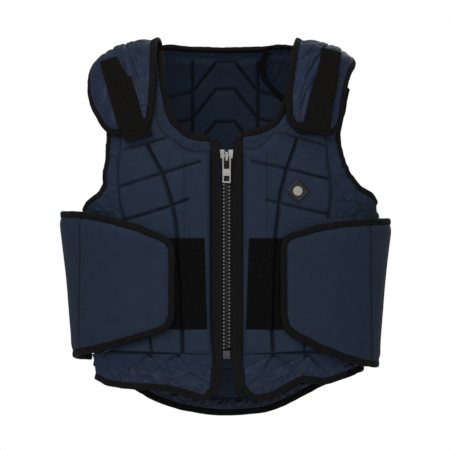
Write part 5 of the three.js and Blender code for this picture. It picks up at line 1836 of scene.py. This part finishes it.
def rounded_copy(node: str, bevel: float) -> bpy.types.Object:
    """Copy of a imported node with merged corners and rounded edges.

    Args:
        node: Name of the node.
        bevel: Width of the rounding.

    Returns:
        A new piece in the node's place.
    """
    shape = bmesh.new()
    shape.from_mesh(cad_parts[node].data)
    bmesh.ops.remove_doubles(shape, verts=shape.verts, dist=1e-6)
    bmesh.ops.dissolve_limit(shape, angle_limit=math.radians(2.0), verts=shape.verts, edges=shape.edges)
    sharp = [edge for edge in shape.edges if len(edge.link_faces) == 2 and edge.calc_face_angle(0.0) > 0.5]
    bmesh.ops.bevel(shape, geom=sharp, offset=bevel, segments=3, profile=0.6, affect="EDGES", clamp_overlap=True)
    mesh = bpy.data.meshes.new(f"{node}_rounded")
    shape.to_mesh(mesh)
    shape.free()
    return link_mesh(mesh.name, mesh)


@dataclass
class Badge:
    """Small soft square on its corner with a raised edge, and a plain pale disc with a ring."""

    across: float = 0.430
    down: float = 0.406
    half_diagonal: float = 15.6 * MM
    wall: float = 1.6 * MM

    def build(self) -> None:
        """Make the square and the disc."""
        step = np.linspace(0.0, 1.0, 61)
        u, v = np.meshgrid(step, step, indexing="ij")
        x, z = (u + v - 1) * self.half_diagonal, (u - v) * self.half_diagonal
        seat = FOAM.front + FOAM.rest
        place = BODY.seen(1.0, self.across + x / BODY.half_width, self.down - z / BODY.height, seat)
        edge = np.minimum(np.minimum(u, 1 - u), np.minimum(v, 1 - v)) * self.half_diagonal * math.sqrt(2)
        raised = 0.5 * MM * np.exp(-((edge - 1.6 * MM) / (0.7 * MM)) ** 2)
        high = seat + self.wall * (0.5 + 0.5 * smooth(0.0, 1.0 * MM, edge)) + raised
        dress(laid("badge_square", place, high, seat + 0.0 * x), Finish.BADGE, "badge_face", "badge_base")
        dress(rounded_copy("badge_disc", 0.4 * MM), Finish.DISC, "badge_disc", "badge_disc")


@dataclass
class Studio:
    """Plain pale floor, soft lights and a long lens almost square to the front.

    Each lamp has a name, a place, a side length and a power in watts.
    """

    pixel: float = 1.3 * MM
    image: int = 450
    centre_x: float = -1.5 * MM
    turn: float = -0.5
    centre_z: float = (50.0 - 225.0) * 1.3 * MM
    focus_y: float = -0.04
    distance: float = 22.0
    floor_drop: float = 0.30
    floor_radius: float = 1.2
    daylight: float = 0.31
    lamps: tuple[tuple[str, tuple[float, float, float], float, float], ...] = (
        ("key", (-0.9, -1.7, 1.2), 1.3, 18.5), ("fill", (0.5, -2.0, 0.2), 1.6, 7.0),
        ("rear", (0.7, 1.8, 0.9), 1.4, 9.0), ("top", (0.0, 0.3, 1.6), 1.4, 2.6))

    def build(self) -> None:
        """Set up the camera, the lights, the world and the floor."""
        scene = bpy.context.scene
        data = bpy.data.cameras.new("camera")
        data.sensor_width = 36.0
        data.lens = data.sensor_width * self.distance / (self.pixel * self.image)
        camera = bpy.data.objects.new("camera", data)
        turn = math.radians(self.turn)
        camera.location = (self.centre_x + self.distance * math.sin(turn),
                           self.focus_y - self.distance * math.cos(turn), self.centre_z)
        camera.rotation_euler = (math.pi / 2, 0.0, turn)
        scene.collection.objects.link(camera)
        scene.camera = camera
        scene.view_settings.view_transform = "Standard"
        scene.view_settings.look = "None"
        for lamp in self.lamps:
            self.light(*lamp)
        world = bpy.data.worlds.new("studio")
        scene.world = world
        world.use_nodes = True
        tree = world.node_tree
        lit = tree.nodes["Background"]
        lit.inputs["Color"].default_value = (1.0, 1.0, 1.0, 1.0)
        lit.inputs["Strength"].default_value = self.daylight
        shown = add_node(tree, "Background", {"Color": (1.0, 1.0, 1.0, 1.0), "Strength": 1.0}, {})
        ray = add_node(tree, "LightPath", {}, {})
        both = add_node(tree, "MixShader", {},
                        {0: ray.outputs["Is Camera Ray"], 1: lit.outputs[0], 2: shown.outputs[0]})
        tree.links.new(both.outputs[0], tree.nodes["World Output"].inputs["Surface"])
        self.floor()

    def light(self, name: str, place: tuple[float, float, float], size: float, power: float) -> None:
        """Square soft light aimed at the middle of the vest.

        Args:
            name: Name of the lamp.
            place: Where it hangs.
            size: Side length.
            power: Watts.
        """
        data = bpy.data.lights.new(name, "AREA")
        data.size, data.energy = size, power
        lamp = bpy.data.objects.new(name, data)
        lamp.location = place
        aim = np.array([0.0, 0.0, self.centre_z]) - np.array(place)
        lamp.rotation_euler = (math.atan2(math.hypot(aim[0], aim[1]), -aim[2]), 0.0, math.atan2(-aim[0], aim[1]))
        bpy.context.scene.collection.objects.link(lamp)

    def floor(self) -> None:
        """Round pale floor under the vest, low enough to stay out of the front view."""
        angle = np.linspace(0.0, 2 * math.pi, 96, endpoint=False)
        low = CAD_BOX[0][2] - self.floor_drop
        rim = np.stack([self.floor_radius * np.cos(angle), self.floor_radius * np.sin(angle),
                        np.full_like(angle, low)], axis=1)
        floor = add_mesh("floor", rim, [list(range(len(rim)))])
        floor.data.materials.append(Moulded("matt_floor_paint", "#ECECEA", 0.8, mark_mm=60.0).make())


BACK = BackPanel()


def main() -> None:
    """Build the studio and every piece of the vest, in order."""
    logging.basicConfig(level=logging.INFO, format="%(message)s")
    Studio().build()
    BACK.build()
    InsideTape().build()
    Skirt("back_skirt", "hem_binding_back", 1, SKIRT_BACK, None, behind=True, columns=360).build()
    for side, table, lines, skirt, darts in ((Side.RIGHT, FRONT_RIGHT, LINES_RIGHT, SKIRT_RIGHT, (0.292, 0.461)),
                                            (Side.LEFT, FRONT_LEFT, LINES_LEFT, SKIRT_LEFT, (0.281, 0.479))):
        front = FrontPanel(side, table, lines)
        front.build()
        LoopField(side, front).build()
        Skirt(f"front_skirt_{side.word}", f"hem_binding_{side.word}", side.value, skirt, 0.8381,
              seed=81 if side is Side.RIGHT else 101, darts=darts).build()
    for piece in (Yoke(Side.RIGHT, YOKE_RIGHT, TAPE_RIGHT), Yoke(Side.LEFT, YOKE_LEFT, TAPE_LEFT),
                  Wing(Side.RIGHT, WING_RIGHT, 0.882), Wing(Side.LEFT, WING_LEFT, 0.870), Zip(), Badge()):
        piece.build()


if __name__ == "__main__":
    main()
